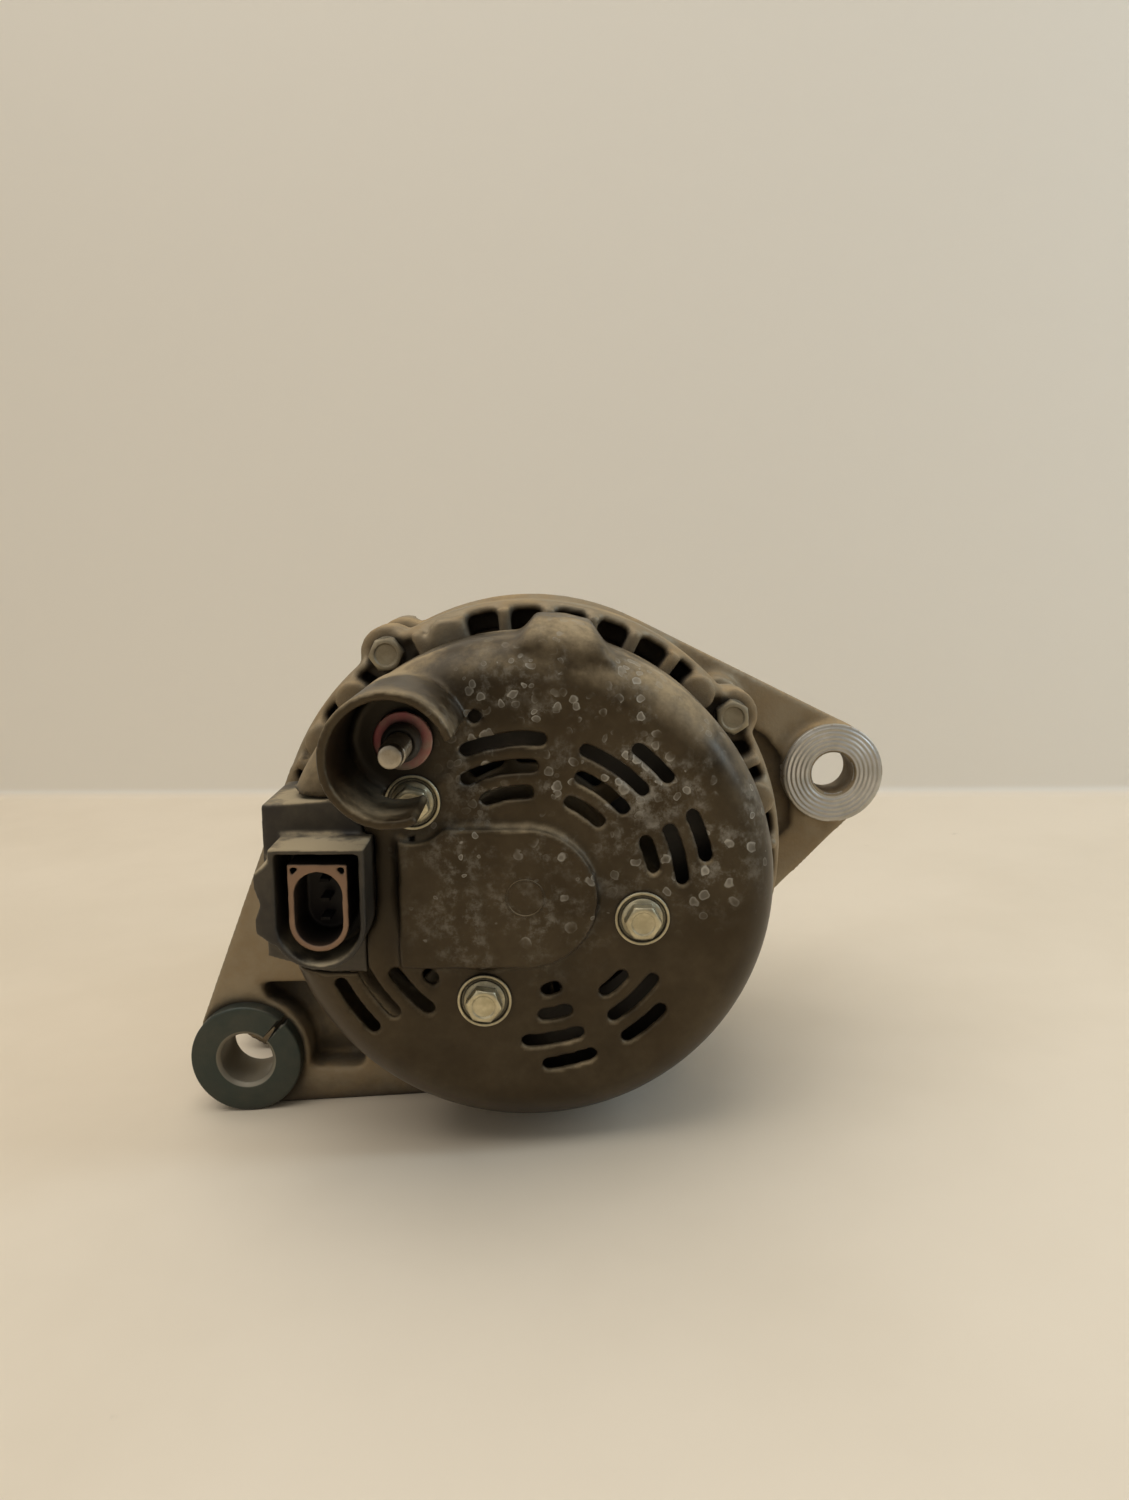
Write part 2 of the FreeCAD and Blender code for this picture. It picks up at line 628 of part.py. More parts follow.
def rear_cover():
    outer = turned("cover_outer", [
        ("0", "0"), ("cover_radius", "0"), ("cover_radius", "cover_depth"), ("0", "cover_depth")])
    round_rim(outer, "cover_radius", "0", "cover_round")
    inner = turned("cover_inner", [
        ("0", "cover_wall"), ("cover_radius - cover_wall", "cover_wall"),
        ("cover_radius - cover_wall", "cover_depth + 1"), ("0", "cover_depth + 1")])
    round_rim(inner, "cover_radius - cover_wall", "cover_wall", "cover_round - cover_wall")
    bulge_box = block("bulge_box", ("-bulge_left", "0"), ("-bulge_height", "cover_wall"),
                      ("-bulge_radius - 0.4", "bulge_radius - 0.8"))
    bulge_end = cylinder("bulge_end", "bulge_radius - 0.2", "-bulge_height",
                         "bulge_height + cover_wall", "0", "-0.6")
    bulge_hollow_box = block("bulge_hollow_box", ("-bulge_left + cover_wall", "0"),
                             ("cover_wall - bulge_height", "cover_wall + 1"),
                             ("-bulge_radius - 0.4 + cover_wall", "bulge_radius - 0.8 - cover_wall"))
    bulge_hollow_end = cylinder("bulge_hollow_end", "bulge_radius - 0.2 - cover_wall",
                                "cover_wall - bulge_height", "bulge_height + 1", "0", "-0.6")
    tab = prism("top_tab", [
        polar("cover_radius - 2", "93"), polar("tab_radius", "88"), polar("tab_radius + 0.4", "82"),
        polar("tab_radius", "76"), polar("cover_radius - 2", "68.5")],
        "0", "cover_depth")
    tab_swell = turned("tab_swell", [
        ("cover_radius - 12", "cover_wall"), ("cover_radius - 3", "tab_start - 5"),
        ("cover_radius + 1", "tab_start - 3"), ("tab_radius - 1.4", "tab_start"),
        ("tab_radius + 0.2", "tab_start + 4"), ("tab_radius + 1", "tab_start + 9"),
        ("tab_radius + 1", "cover_depth"), ("cover_radius - 12", "cover_depth")])
    tab = common("rounded_tab", [tab, tab_swell])
    tube_outer = cylinder("terminal_tube", "tube_radius", "-tube_length",
                          "tube_length + tube_root", "tube_x", "tube_z")
    tube_bore = cylinder("terminal_tube_bore", "tube_radius - tube_wall", "-tube_length - 1",
                         "tube_length + 1", "tube_x", "tube_z")
    tube_back = cylinder("terminal_tube_back", "tube_radius - tube_wall", "cover_wall",
                         "tube_root", "tube_x", "tube_z")
    stud_hole = cylinder("stud_hole", "insulator_radius", "-1", "cover_wall + 2",
                         "tube_x", "tube_z")
    notch = prism("tube_notch", [
        ("tube_x", "tube_z"),
        ("tube_x + 30 * cos(-65)", "tube_z + 30 * sin(-65)"),
        ("tube_x + 34 * cos(-25)", "tube_z + 34 * sin(-25)"),
        ("tube_x + 30 * cos(18)", "tube_z + 30 * sin(18)")],
        "-tube_length - 1", "tube_length + 1 - notch_floor")
    third = cover_bolts[2]
    bolt_room = cylinder("third_bolt_room", "bolt_well", "-cover_bolt_head - 3",
                         "cover_bolt_head + 3", *third)
    bulge_scoop = cylinder("bulge_scoop", "bolt_well + bulge_step", "-bulge_height - 1",
                           "bulge_height + 1", *third)
    bulge = cut("scooped_bulge", fused("bulge", [bulge_box, bulge_end]), bulge_scoop)
    shroud_room = d_shape("shroud_room", "socket_half + 0.2", "socket_top + 0.2", "-1",
                          "cover_wall + 2")
    case_room = block("case_room", ("case_left - 5", "case_right + 0.2"), ("-1", "cover_depth + 1"),
                      ("case_bottom - 0.2", "case_top + 1.7"))
    bolt_holes = [cylinder(f"cover_hole_{i}", "eyelet_sleeve", "-1", "cover_wall + 2", x, z)
                  for i, (x, z) in enumerate(cover_bolts)]
    slots = doc.addObject("Part::Feature", "vent_slots")
    slots.Shape = Part.makeCompound([arc_slot(*slot) for group in slot_groups.values()
                                     for slot in group])
    hole = cylinder("small_vent", "1.6", "-1", "cover_wall + 2", *polar("43.6", "105.3"))
    tube_wall = cut("terminal_tube_wall", tube_outer, tube_bore, tube_back, notch)
    body = fused("cover_solid", [outer, bulge, tab, tube_wall])
    hollow = fused("cover_hollow", [inner, bulge_hollow_box, bulge_hollow_end])
    floor_keep = cylinder("tube_floor", "tube_radius", "0", "cover_wall", "tube_x", "tube_z")
    return cut("rear_cover", body, cut("cover_inside", hollow, floor_keep), stud_hole,
               bolt_room, case_room, shroud_room, slots, hole, *bolt_holes)


def cover_fasteners():
    bolts = []
    eyelets = []
    for i, (x, z) in enumerate(cover_bolts):
        head = hexagon(f"cover_bolt_head_{i}", "cover_bolt_flats",
                       "-eyelet_thick - cover_bolt_head", "cover_bolt_head", x, z)
        shank = cylinder(f"cover_bolt_shank_{i}", "cover_bolt_radius", "-eyelet_thick",
                         "eyelet_thick + cover_depth + 5", x, z)
        bolts.append(fused(f"cover_bolt_{i}", [head, shank]))
        flange = cylinder(f"eyelet_flange_{i}", "eyelet_radius", "-eyelet_thick",
                          "eyelet_thick", x, z)
        sleeve = cylinder(f"eyelet_sleeve_{i}", "eyelet_sleeve", "-0.1",
                          "cover_depth + 0.1", x, z)
        bore = cylinder(f"eyelet_bore_{i}", "cover_bolt_radius", "-3", "cover_depth + 6", x, z)
        eyelets.append(cut(f"eyelet_{i}", fused(f"eyelet_blank_{i}", [flange, sleeve]), bore))
    node("cover_bolts", compound("cover_bolts", bolts))
    node("cover_eyelets", compound("cover_eyelets", eyelets))


def compound(name, pieces):
    made = doc.addObject("Part::Compound", name)
    made.Links = pieces
    return made


def battery_terminal():
    place = ("tube_x", "tube_z")
    nut_face = "(washer_start - nut_length)"
    thread = cylinder("stud_thread", "stud_radius", "-stud_length", f"stud_length + {nut_face}",
                      *place)
    shank = cylinder("stud_shank_rod", "stud_shank", nut_face, f"stud_root - {nut_face}", *place)
    node("b_plus_stud", fused("b_plus_stud", [thread, shank]))
    node("b_plus_washer", tube("b_plus_washer", "washer_radius", "stud_shank", "washer_start",
                               "washer_thick", *place))
    node("b_plus_nut", tube("b_plus_nut", "nut_radius", "stud_shank", nut_face, "nut_length",
                            *place))
    insulator_start = "(washer_start + washer_thick)"
    node("b_plus_insulator", tube("b_plus_insulator", "insulator_radius", "stud_shank",
                                  insulator_start, f"plus_start - {insulator_start}", *place))


def d_shape(name, half, top, start, length):
    """A socket outline: square at the top and round at the bottom."""
    upper = block(name + "_upper", (f"socket_x - ({half})", f"socket_x + ({half})"),
                  (start, f"({start}) + ({length})"), ("socket_round_z", top))
    lower = cylinder(name + "_lower", half, start, length, "socket_x", "socket_round_z")
    return fused(name, [upper, lower])


def regulator():
    case = prism("case_block", [
        ("case_left", "case_top"), ("case_left + 16", "case_top + 1.5"), ("case_right - 5", "case_top"),
        ("case_right", "case_top - 5"), ("case_right", "case_bottom"),
        ("case_left + 14", "case_bottom"), ("case_left", "case_bottom + 4")],
        "0.5", "case_depth - 0.5")
    shroud = d_shape("shroud", "socket_half", "socket_top", "-socket_reach", "socket_reach + 1")
    ramps = prism("latch_ramps", [
        ("socket_x - socket_half + 0.5", "12"), ("socket_x - socket_half - 3.3", "8.8"),
        ("socket_x - socket_half - 3.3", "5.4"), ("socket_x - socket_half - 2", "1.6"),
        ("socket_x - socket_half - 3.3", "-1.8"), ("socket_x - socket_half - 3.3", "-5"),
        ("socket_x - socket_half + 0.5", "-8")], "-socket_reach", "socket_reach + 1")
    mouth = d_shape("shroud_mouth", "socket_half - socket_wall", "socket_top - socket_wall",
                    "-socket_reach - 1", "socket_reach + 1 + socket_floor")
    body = fused("case_body", [case, shroud, ramps])
    node("regulator_case", cut("regulator_case", body, mouth))
    liner = d_shape("liner_outer", "liner_half", "liner_top", "-socket_reach + liner_set_back",
                    "socket_reach - liner_set_back + socket_floor")
    inside_half = "(liner_half - liner_wall)"
    opening = cylinder("liner_low", inside_half, "-socket_reach", "socket_reach + socket_floor - 1",
                       "socket_x", "socket_round_z")
    middle = block("liner_middle", (f"socket_x - {inside_half}", f"socket_x + {inside_half}"),
                   ("-socket_reach", "socket_floor - 1"), ("socket_round_z", "socket_round_z + 6.5"))
    high = cylinder("liner_high", inside_half, "-socket_reach", "socket_reach + socket_floor - 1",
                    "socket_x", "socket_round_z + 6.5")
    pockets = [prism(f"liner_pocket_{i}", [
        (f"socket_x + {side} * (liner_half - 0.7)", "liner_top - 0.7"),
        (f"socket_x + {side} * (liner_half - 0.7 - liner_pocket)", "liner_top - 0.7"),
        (f"socket_x + {side} * (liner_half - 0.7)", "liner_top - 0.7 - liner_pocket")],
        "-socket_reach", "socket_reach - 4") for i, side in enumerate((-1, 1))]
    node("connector_liner", cut("connector_liner", liner, opening, middle, high, *pockets))
    pins = [block(f"pin_{i}", ("socket_x - pin_width / 2", "socket_x + pin_width / 2"),
                  ("-socket_reach + pin_set_back", "socket_floor - 1"),
                  (f"socket_round_z + {3.25 + 4.6 * i} - pin_thick / 2",
                   f"socket_round_z + {3.25 + 4.6 * i} + pin_thick / 2"))
            for i in (-1, 0, 1)]
    node("connector_pins", compound("connector_pins", pins))


def brush_station(i):
    return f"(slip_first + {i} * slip_spacing)"


def brushes():
    face = "(-slip_radius - brush_gap)"
    back = f"({face} - brush_length)"
    spring_end = f"({back} - spring_length)"
    room = "(brush_width / 2 + brush_clearance)"
    tall = "(brush_height / 2 + brush_clearance)"
    body = block("holder_body", (f"{spring_end} - holder_wall", f"{face} - 3"),
                 (f"{brush_station(0)} - {room} - holder_wall",
                  f"{brush_station(1)} + {room} + holder_wall"),
                 (f"-{tall} - holder_wall", f"{tall} + holder_wall"))
    arm = block("holder_arm", ("case_right", f"{spring_end} - holder_wall"),
                (f"{brush_station(0)} - {room} - holder_wall",
                 f"{brush_station(1)} + {room} + holder_wall"),
                (f"-{tall}", tall))
    channels = [block(f"channel_{i}", (spring_end, face),
                      (f"{brush_station(i)} - {room}", f"{brush_station(i)} + {room}"),
                      (f"-{tall}", tall)) for i in (0, 1)]
    node("brush_holder", cut("brush_holder", fused("holder_blank", [arm, body]), *channels))
    for i, name in enumerate(("rear", "front")):
        node(f"brush_{name}", block(f"brush_{name}", (back, face),
                                    (f"{brush_station(i)} - brush_width / 2",
                                     f"{brush_station(i)} + brush_width / 2"),
                                    ("-brush_height / 2", "brush_height / 2")))
        spring = doc.addObject("Part::Cylinder", f"spring_{name}_outer")
        core = doc.addObject("Part::Cylinder", f"spring_{name}_core")
        for part, radius in ((spring, "spring_radius"), (core, "spring_radius - spring_wire")):
            part.Placement.Rotation = FreeCAD.Rotation(FreeCAD.Vector(0, 1, 0), 90)
            bind(part, Radius=radius, Height="spring_length", Placement__Base__x=spring_end,
                 Placement__Base__y=brush_station(i))
        node(f"brush_spring_{name}", cut(f"brush_spring_{name}", spring, core))


def rectifier():
    angles = [-80 + 26 * i for i in range(8)]
    diodes = []
    holes = []
    for i, angle in enumerate(angles):
        x, z = polar("diode_circle", str(angle))
        diodes.append(cylinder(f"diode_{i}", "diode_radius", "plus_start - 2",
                               "minus_start - plus_start + plate_thick + 1", x, z))
        holes.append(cylinder(f"diode_hole_{i}", "diode_radius", "plus_start - 3",
                              "minus_start - plus_start + plate_thick + 8", x, z))
    node("rectifier_diodes", compound("rectifier_diodes", diodes))
    plus = sector("plus_sector", "plate_inner", "plate_outer", "plus_start", "plate_thick", -95, 135)
    stud_hole = cylinder("plus_stud_hole", "stud_shank", "plus_start - 1", "plate_thick + 2",
                         "tube_x", "tube_z")
    minus = sector("minus_sector", "plate_inner", "plate_outer", "minus_start", "plate_thick",
                   -95, 135)
    stud_room = cylinder("minus_stud_room", "stud_radius + 1.5", "minus_start - 1",
                         "plate_thick + 2", "tube_x", "tube_z")
    node("rectifier_plus_plate", cut("rectifier_plus_plate", plus, stud_hole, *holes))
    node("rectifier_minus_plate", cut("rectifier_minus_plate", minus, stud_room,
                                      *[copy_of(hole) for hole in holes]))
    ring = sector("terminal_sector", "plate_inner - 5.5", "plate_outer - 5", "terminal_start",
                  "terminal_thick", -95, 118)
    legs = [turned_block(f"terminal_leg_{i}", ("plate_inner + 1", "plate_outer - 6"),
                         ("terminal_start + terminal_thick", "plus_start"), "3", angle)
            for i, angle in enumerate((-67, -15, 37, 89))]
    node("rectifier_terminals", fused("rectifier_terminals", [ring] + legs))


def copy_of(hole):
    """A second cylinder with the same formulas, so that each cut has a tool of its own."""
    made = doc.addObject("Part::Cylinder", hole.Name + "_again")
    made.Placement.Rotation = along_y
    for place, text in hole.ExpressionEngine:
        made.setExpression(place, text)
    return made


def stator():
    core = tube("core_ring", "core_radius", "core_bore", "core_start", "core_length")
    angles = each_angle(36)
    slots = [turned_block(f"core_slot_{i}", ("core_bore - 2", "core_bore + 10.5"),
                          ("core_start - 1", f"{core_end} + 1"), "3.4", angle)
             for i, angle in enumerate(angles)]
    node("stator_core", cut("stator_core", core, *slots))
    bars = [turned_block(f"winding_bar_{i}", ("core_bore + 1.4", "core_bore + 10.3"),
                         ("core_start - 1", f"{core_end} + 1"), "3.0", angle)
            for i, angle in enumerate(angles)]
    rear = turned("rear_end_turns", [
        ("core_bore + 1.8", "rear_wall_start + wall + 1.8"),
        ("core_bore + 10", "rear_wall_start + wall + 1.8"),
        ("core_bore + 11.6", "core_start - 5"), ("core_bore + 10.3", "core_start - 0.4"),
        ("core_bore + 1.4", "core_start - 0.4"), ("core_bore + 0.9", "core_start - 4")])
    front = turned("front_end_turns", [
        ("core_bore + 1.4", f"{core_end} + 0.4"), ("core_bore + 10.3", f"{core_end} + 0.4"),
        ("core_bore + 11.6", f"{core_end} + 4"), ("core_bore + 10", "front_wall_start - 2.5"),
        ("core_bore + 1.8", "front_wall_start - 2.5"), ("core_bore + 0.9", f"{core_end} + 4")])
    node("stator_winding", fused("stator_winding", [rear, front] + bars))


def through_bolts():
    made = []
    for i, angle in enumerate(through_angles):
        x, z = polar("bolt_circle", angle)
        head = hexagon(f"through_head_{i}", "bolt_flats", "bolt_boss_start - bolt_head",
                       "bolt_head", x, z)
        shank = cylinder(f"through_shank_{i}", "bolt_radius", "bolt_boss_start",
                         f"{front_start} + 13 - bolt_boss_start", x, z)
        made.append(fused(f"through_bolt_{i}", [head, shank]))
    node("through_bolts", compound("through_bolts", made))


def left_ear_bush():
    flange = cylinder("bush_flange_disc", "left_ear_radius", "rear_ear_start + 1 - bush_flange",
                      "bush_flange", *left_ear)
    sleeve = cylinder("bush_sleeve_tube", "bush_sleeve", "rear_ear_start + 1",
                      "rear_ear_thick - 1", *left_ear)
    bore = cylinder("bush_bore_tool", "bush_bore", "rear_ear_start - 10",
                    "rear_ear_thick + 20", *left_ear)
    slit = doc.addObject("Part::Box", "bush_slit_tool")
    slit.Placement.Rotation = FreeCAD.Rotation(FreeCAD.Vector(0, 1, 0), -42)
    bind(slit, Length="30", Width="rear_ear_thick + 20", Height="bush_slit",
         Placement__Base__x=left_ear[0], Placement__Base__y="rear_ear_start - 10",
         Placement__Base__z=left_ear[1])
    node("left_ear_bush", cut("left_ear_bush", fused("bush_blank", [flange, sleeve]), bore, slit))


def bearing(side, start, width, bore, radius, circle, ball_radius, count):
    """Outer race, inner race, balls and cage of one deep-groove ball bearing."""
    middle = f"({start} + {width} / 2)"
    groove = f"({ball_radius} + ball_clearance)"

    def race(name, outer, inner):
        blank = tube(name + "_blank", outer, inner, start, width)
        torus = doc.addObject("Part::Torus", name + "_groove")
        torus.Placement.Rotation = along_y
        bind(torus, Radius1=circle, Radius2=groove, Placement__Base__y=middle)
        return cut(name, blank, torus)

    node(f"{side}_bearing_outer", race(f"{side}_bearing_outer", radius,
                                       f"{circle} + {ball_radius} * 0.6"))
    node(f"{side}_bearing_inner", race(f"{side}_bearing_inner",
                                       f"{circle} - {ball_radius} * 0.6", bore))
    balls = []
    pockets = []
    for i, angle in enumerate(each_angle(count, 10.0)):
        x, z = polar(circle, str(angle))
        balls.append(ball(f"{side}_ball_{i}", ball_radius, x, middle, z))
        pockets.append(ball(f"{side}_pocket_{i}", ball_radius, x, middle, z))
    node(f"{side}_bearing_balls", compound(f"{side}_bearing_balls", balls))
    cage = tube(f"{side}_cage_ring", f"{circle} + {ball_radius} * 0.28",
                f"{circle} - {ball_radius} * 0.28", f"{middle} - {ball_radius} * 1.15",
                f"{ball_radius} * 2.3")
    node(f"{side}_bearing_cage", cut(f"{side}_bearing_cage", cage, *pockets))


def retainer():
    inner = "(front_bearing_radius - 3.5)"
    outer = "(front_bearing_radius + front_boss_wall - 0.5)"
    start = "(front_bearing_start - retainer_thick)"
    plate = tube("retainer_ring", outer, inner, start, "retainer_thick")
    holes = []
    screws = []
    for i, angle in enumerate(each_angle(4, 45.0)):
        x, z = polar("front_bearing_radius + front_boss_wall / 2", str(angle))
        holes.append(cylinder(f"retainer_hole_{i}", "1.7", f"{start} - 1", "4", x, z))
        head = cylinder(f"retainer_head_{i}", "2.9", f"{start} - 1.4", "1.4", x, z)
        shank = cylinder(f"retainer_shank_{i}", "1.7", start, "9", x, z)
        screws.append(fused(f"retainer_screw_{i}", [head, shank]))
    node("bearing_retainer", cut("bearing_retainer", plate, *holes))
    node("retainer_screws", compound("retainer_screws", screws))


def shaft():
    node("rotor_shaft", turned("rotor_shaft", [
        ("0", "shaft_rear"),
        ("slip_shaft_radius", "shaft_rear"),
        ("slip_shaft_radius", "rear_bearing_start - 1"),
        ("rear_shaft_radius", "rear_bearing_start - 1"),
        ("rear_shaft_radius", "rear_bearing_start + rear_bearing_width"),
        ("shaft_radius", "rear_bearing_start + rear_bearing_width"),
        ("shaft_radius", nut_start),
        ("thread_radius", nut_start),
        ("thread_radius", "shaft_front - 1.5"),
        ("thread_radius - 1.5", "shaft_front"),
        ("0", "shaft_front"),
    ]))


def slip_rings():
    rings = [tube(f"slip_ring_{i}", "slip_radius", "slip_radius - 1.1",
                  f"{brush_station(i)} - slip_width / 2", "slip_width") for i in (0, 1)]
    node("slip_rings", compound("slip_rings", rings))
    inside = "(slip_radius - 1.1)"
    node("slip_ring_carrier", turned("slip_ring_carrier", [
        ("slip_shaft_radius", "shaft_rear + 1"),
        (inside, "shaft_rear + 1"),
        (inside, "rear_bearing_start - 2"),
        ("slip_shaft_radius", "rear_bearing_start - 2"),
    ]))


def claw_pole(side, root_face, direction, first_angle):
    """One half of the rotor's iron: a disc with tapered claws that reach over the coil."""
    disc_low = root_face if direction > 0 else f"({root_face} - pole_thick)"
    disc = tube(f"{side}_pole_disc", "pole_disc_radius", "shaft_radius", disc_low, "pole_thick")
    neck_low = f"({root_face} + pole_thick)" if direction > 0 else f"({root_face} - pole_span / 2)"
    neck = tube(f"{side}_pole_neck", "coil_inner - bobbin_wall", "shaft_radius", neck_low,
                "pole_span / 2 - pole_thick")
    claws = []
    for i, angle in enumerate(each_angle(sizes["claw_count"], first_angle)):
        wedge = doc.addObject("Part::Wedge", f"{side}_claw_{i}")
        face_out = FreeCAD.Rotation(FreeCAD.Vector(0, 1, 0), -angle)
        flip = FreeCAD.Rotation(FreeCAD.Vector(1, 0, 0), 0 if direction > 0 else 180)
        wedge.Placement.Rotation = face_out.multiply(flip)
        inner = "(pole_radius - claw_thick - 2)"
        bind(wedge, Xmin=inner, Xmax="pole_radius + 3", Ymin="0", Ymax="claw_length",
             Zmin="-claw_root / 2", Zmax="claw_root / 2", X2min="pole_radius - claw_thick / 2",
             X2max="pole_radius + 3", Z2min="-claw_tip / 2", Z2max="claw_tip / 2",
             Placement__Base__y=root_face)
        claws.append(wedge)
    spokes = [turned_block(f"{side}_spoke_{i}", ("pole_disc_radius - 6", "pole_radius"),
                           (disc_low, f"{disc_low} + pole_thick"), "claw_root", angle)
              for i, angle in enumerate(each_angle(sizes["claw_count"], first_angle))]
    blank = fused(f"{side}_pole_blank", [disc, neck] + spokes + claws)
    limit = cylinder(f"{side}_pole_limit", "pole_radius", "pole_start - 1", "pole_span + 2")
    return common(f"{side}_claw_pole", [blank, limit])


def rotor_iron():
    node("rear_claw_pole", claw_pole("rear", "pole_start", 1, 0.0))
    pitch = 360.0 / sizes["claw_count"]
    node("front_claw_pole", claw_pole("front", "(pole_start + pole_span)", -1, pitch / 2))
    coil_start = "(pole_start + pole_thick + bobbin_wall + 0.2)"
    coil_length = "(pole_span - 2 * pole_thick - 2 * bobbin_wall - 0.4)"
    node("field_coil", tube("field_coil", "coil_outer", "coil_inner", coil_start, coil_length))
    bobbin_start = "(pole_start + pole_thick + 0.2)"
    bobbin_end = f"({coil_start} + {coil_length} + bobbin_wall)"
    node("coil_bobbin", turned("coil_bobbin", [
        ("coil_inner - bobbin_wall", bobbin_start),
        ("coil_outer", bobbin_start),
        ("coil_outer", coil_start),
        ("coil_inner", coil_start),
        ("coil_inner", f"{coil_start} + {coil_length}"),
        ("coil_outer", f"{coil_start} + {coil_length}"),
        ("coil_outer", bobbin_end),
        ("coil_inner - bobbin_wall", bobbin_end),
    ]))


def fan(side, plate_start, blade_start, inner):
    plate = tube(f"{side}_fan_plate", "fan_radius - 3", "shaft_radius + 3", plate_start, "fan_plate")
    blades = [turned_block(f"{side}_blade_{i}", (inner, "fan_radius"),
                           (blade_start, f"{blade_start} + fan_blade"), "1.4", angle)
              for i, angle in enumerate(each_angle(sizes["fan_blades"], 7.0))]
    roots = [turned_block(f"{side}_blade_root_{i}", (inner, "fan_radius"),
                          (plate_start, f"{plate_start} + fan_plate"), "8", angle)
             for i, angle in enumerate(each_angle(sizes["fan_blades"], 7.0))]
    node(f"{side}_fan", fused(f"{side}_fan", [plate] + blades + roots))


def fans():
    fan("rear", "(pole_start - fan_plate)", "(pole_start - fan_plate - fan_blade)", "fan_inner")
    pole_end = "(pole_start + pole_span)"
    fan("front", pole_end, f"({pole_end} + fan_plate)", "front_fan_inner")


def pulley():
    rim_end = f"({rim_start} + {rim_length})"
    bottom = "(pulley_radius - groove_depth)"
    profile = [
        ("shaft_radius", pulley_start),
        ("collar_radius + 2", pulley_start),
        ("collar_radius + 2", f"{rim_start} + 5"),
        (f"{bottom} - pulley_rim", f"{rim_start} + 5"),
        (f"{bottom} - pulley_rim", rim_start),
        ("pulley_radius", rim_start),
        ("pulley_radius", f"{rim_start} + pulley_lip"),
    ]
    for i in range(int(sizes["groove_count"])):
        groove = f"({rim_start} + pulley_lip + {i} * groove_pitch)"
        profile.append((bottom, f"{groove} + groove_pitch * 0.36"))
        profile.append((bottom, f"{groove} + groove_pitch * 0.64"))
        if i < sizes["groove_count"] - 1:
            profile.append(("pulley_radius - 0.4", f"{groove} + groove_pitch * 0.93"))
            profile.append(("pulley_radius - 0.4", f"{groove} + groove_pitch * 1.07"))
    profile += [
        ("pulley_radius", f"{rim_end} - pulley_lip"),
        ("pulley_radius", rim_end),
        (f"{bottom} - pulley_rim", rim_end),
        (f"{bottom} - pulley_rim", nut_start),
        ("shaft_radius", nut_start),
    ]
    node("pulley", turned("pulley", profile))
    blank = hexagon("pulley_nut_hex", "nut_flats", nut_start, "nut_thick")
    flange = cylinder("pulley_nut_flange", "pulley_hub", nut_start, "1.6")
    bore = cylinder("pulley_nut_bore", "thread_radius", f"{nut_start} - 1", "nut_thick + 2")
    node("pulley_nut", cut("pulley_nut", fused("pulley_nut_blank", [blank, flange]), bore))
    node("spacer_collar", tube("spacer_collar", "collar_radius", "shaft_radius", collar_start,
                               "collar_length"))


def place_finished():
    """Turns each piece until the left ears and the drum stand level, and moves the belt
    plane to the origin."""
    spread = "acos((flange_radius - left_ear_radius) / left_ear_reach) / 1 deg"
    lean = f"left_ear_angle + {spread} + 90"
    turn = worth(lean)
    for piece in finished:
        own = piece.Placement
        shift = FreeCAD.Placement(FreeCAD.Vector(0, -worth(belt_plane), 0),
                                  FreeCAD.Rotation(FreeCAD.Vector(0, 1, 0), turn))
        for formula, _ in piece.ExpressionEngine:
            if "Placement" in formula:
                piece.setExpression(formula, None)
        piece.Placement = shift.multiply(own)


def main():
    node("rear_cover", rear_cover())
    cover_fasteners()
    battery_terminal()
    regulator()
    brushes()
    rectifier()
    node("rear_housing", rear_housing())
    node("front_housing", front_housing())
    stator()
    through_bolts()
    left_ear_bush()
    bearing("rear", "rear_bearing_start", "rear_bearing_width", "rear_shaft_radius",
            "rear_bearing_radius", "rear_ball_circle", "rear_ball", 7)
    bearing("front", "front_bearing_start", "front_bearing_width", "shaft_radius",
            "front_bearing_radius", "front_ball_circle", "front_ball", 8)
    retainer()
    shaft()
    slip_rings()
    rotor_iron()
    fans()
    pulley()
    doc.recompute()
    place_finished()
    doc.recompute()
    for thing in doc.Objects:
        if "Invalid" in thing.State or "Error" in thing.State:
            raise RuntimeError(f"{thing.Name} failed: {thing.State}")
    os.makedirs("parts", exist_ok=True)
    for piece in finished:
        shape = piece.Shape
        if shape.isNull() or not shape.isValid() or not shape.Solids:
            raise RuntimeError(f"{piece.Label} has no valid solid")
        shape.exportStep(f"parts/{piece.Label}.step")
        print(piece.Label, len(shape.Solids), round(shape.Volume))


main()
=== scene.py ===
import json
import math
import bmesh
import bpy
import numpy as np
from mathutils import Matrix, Vector


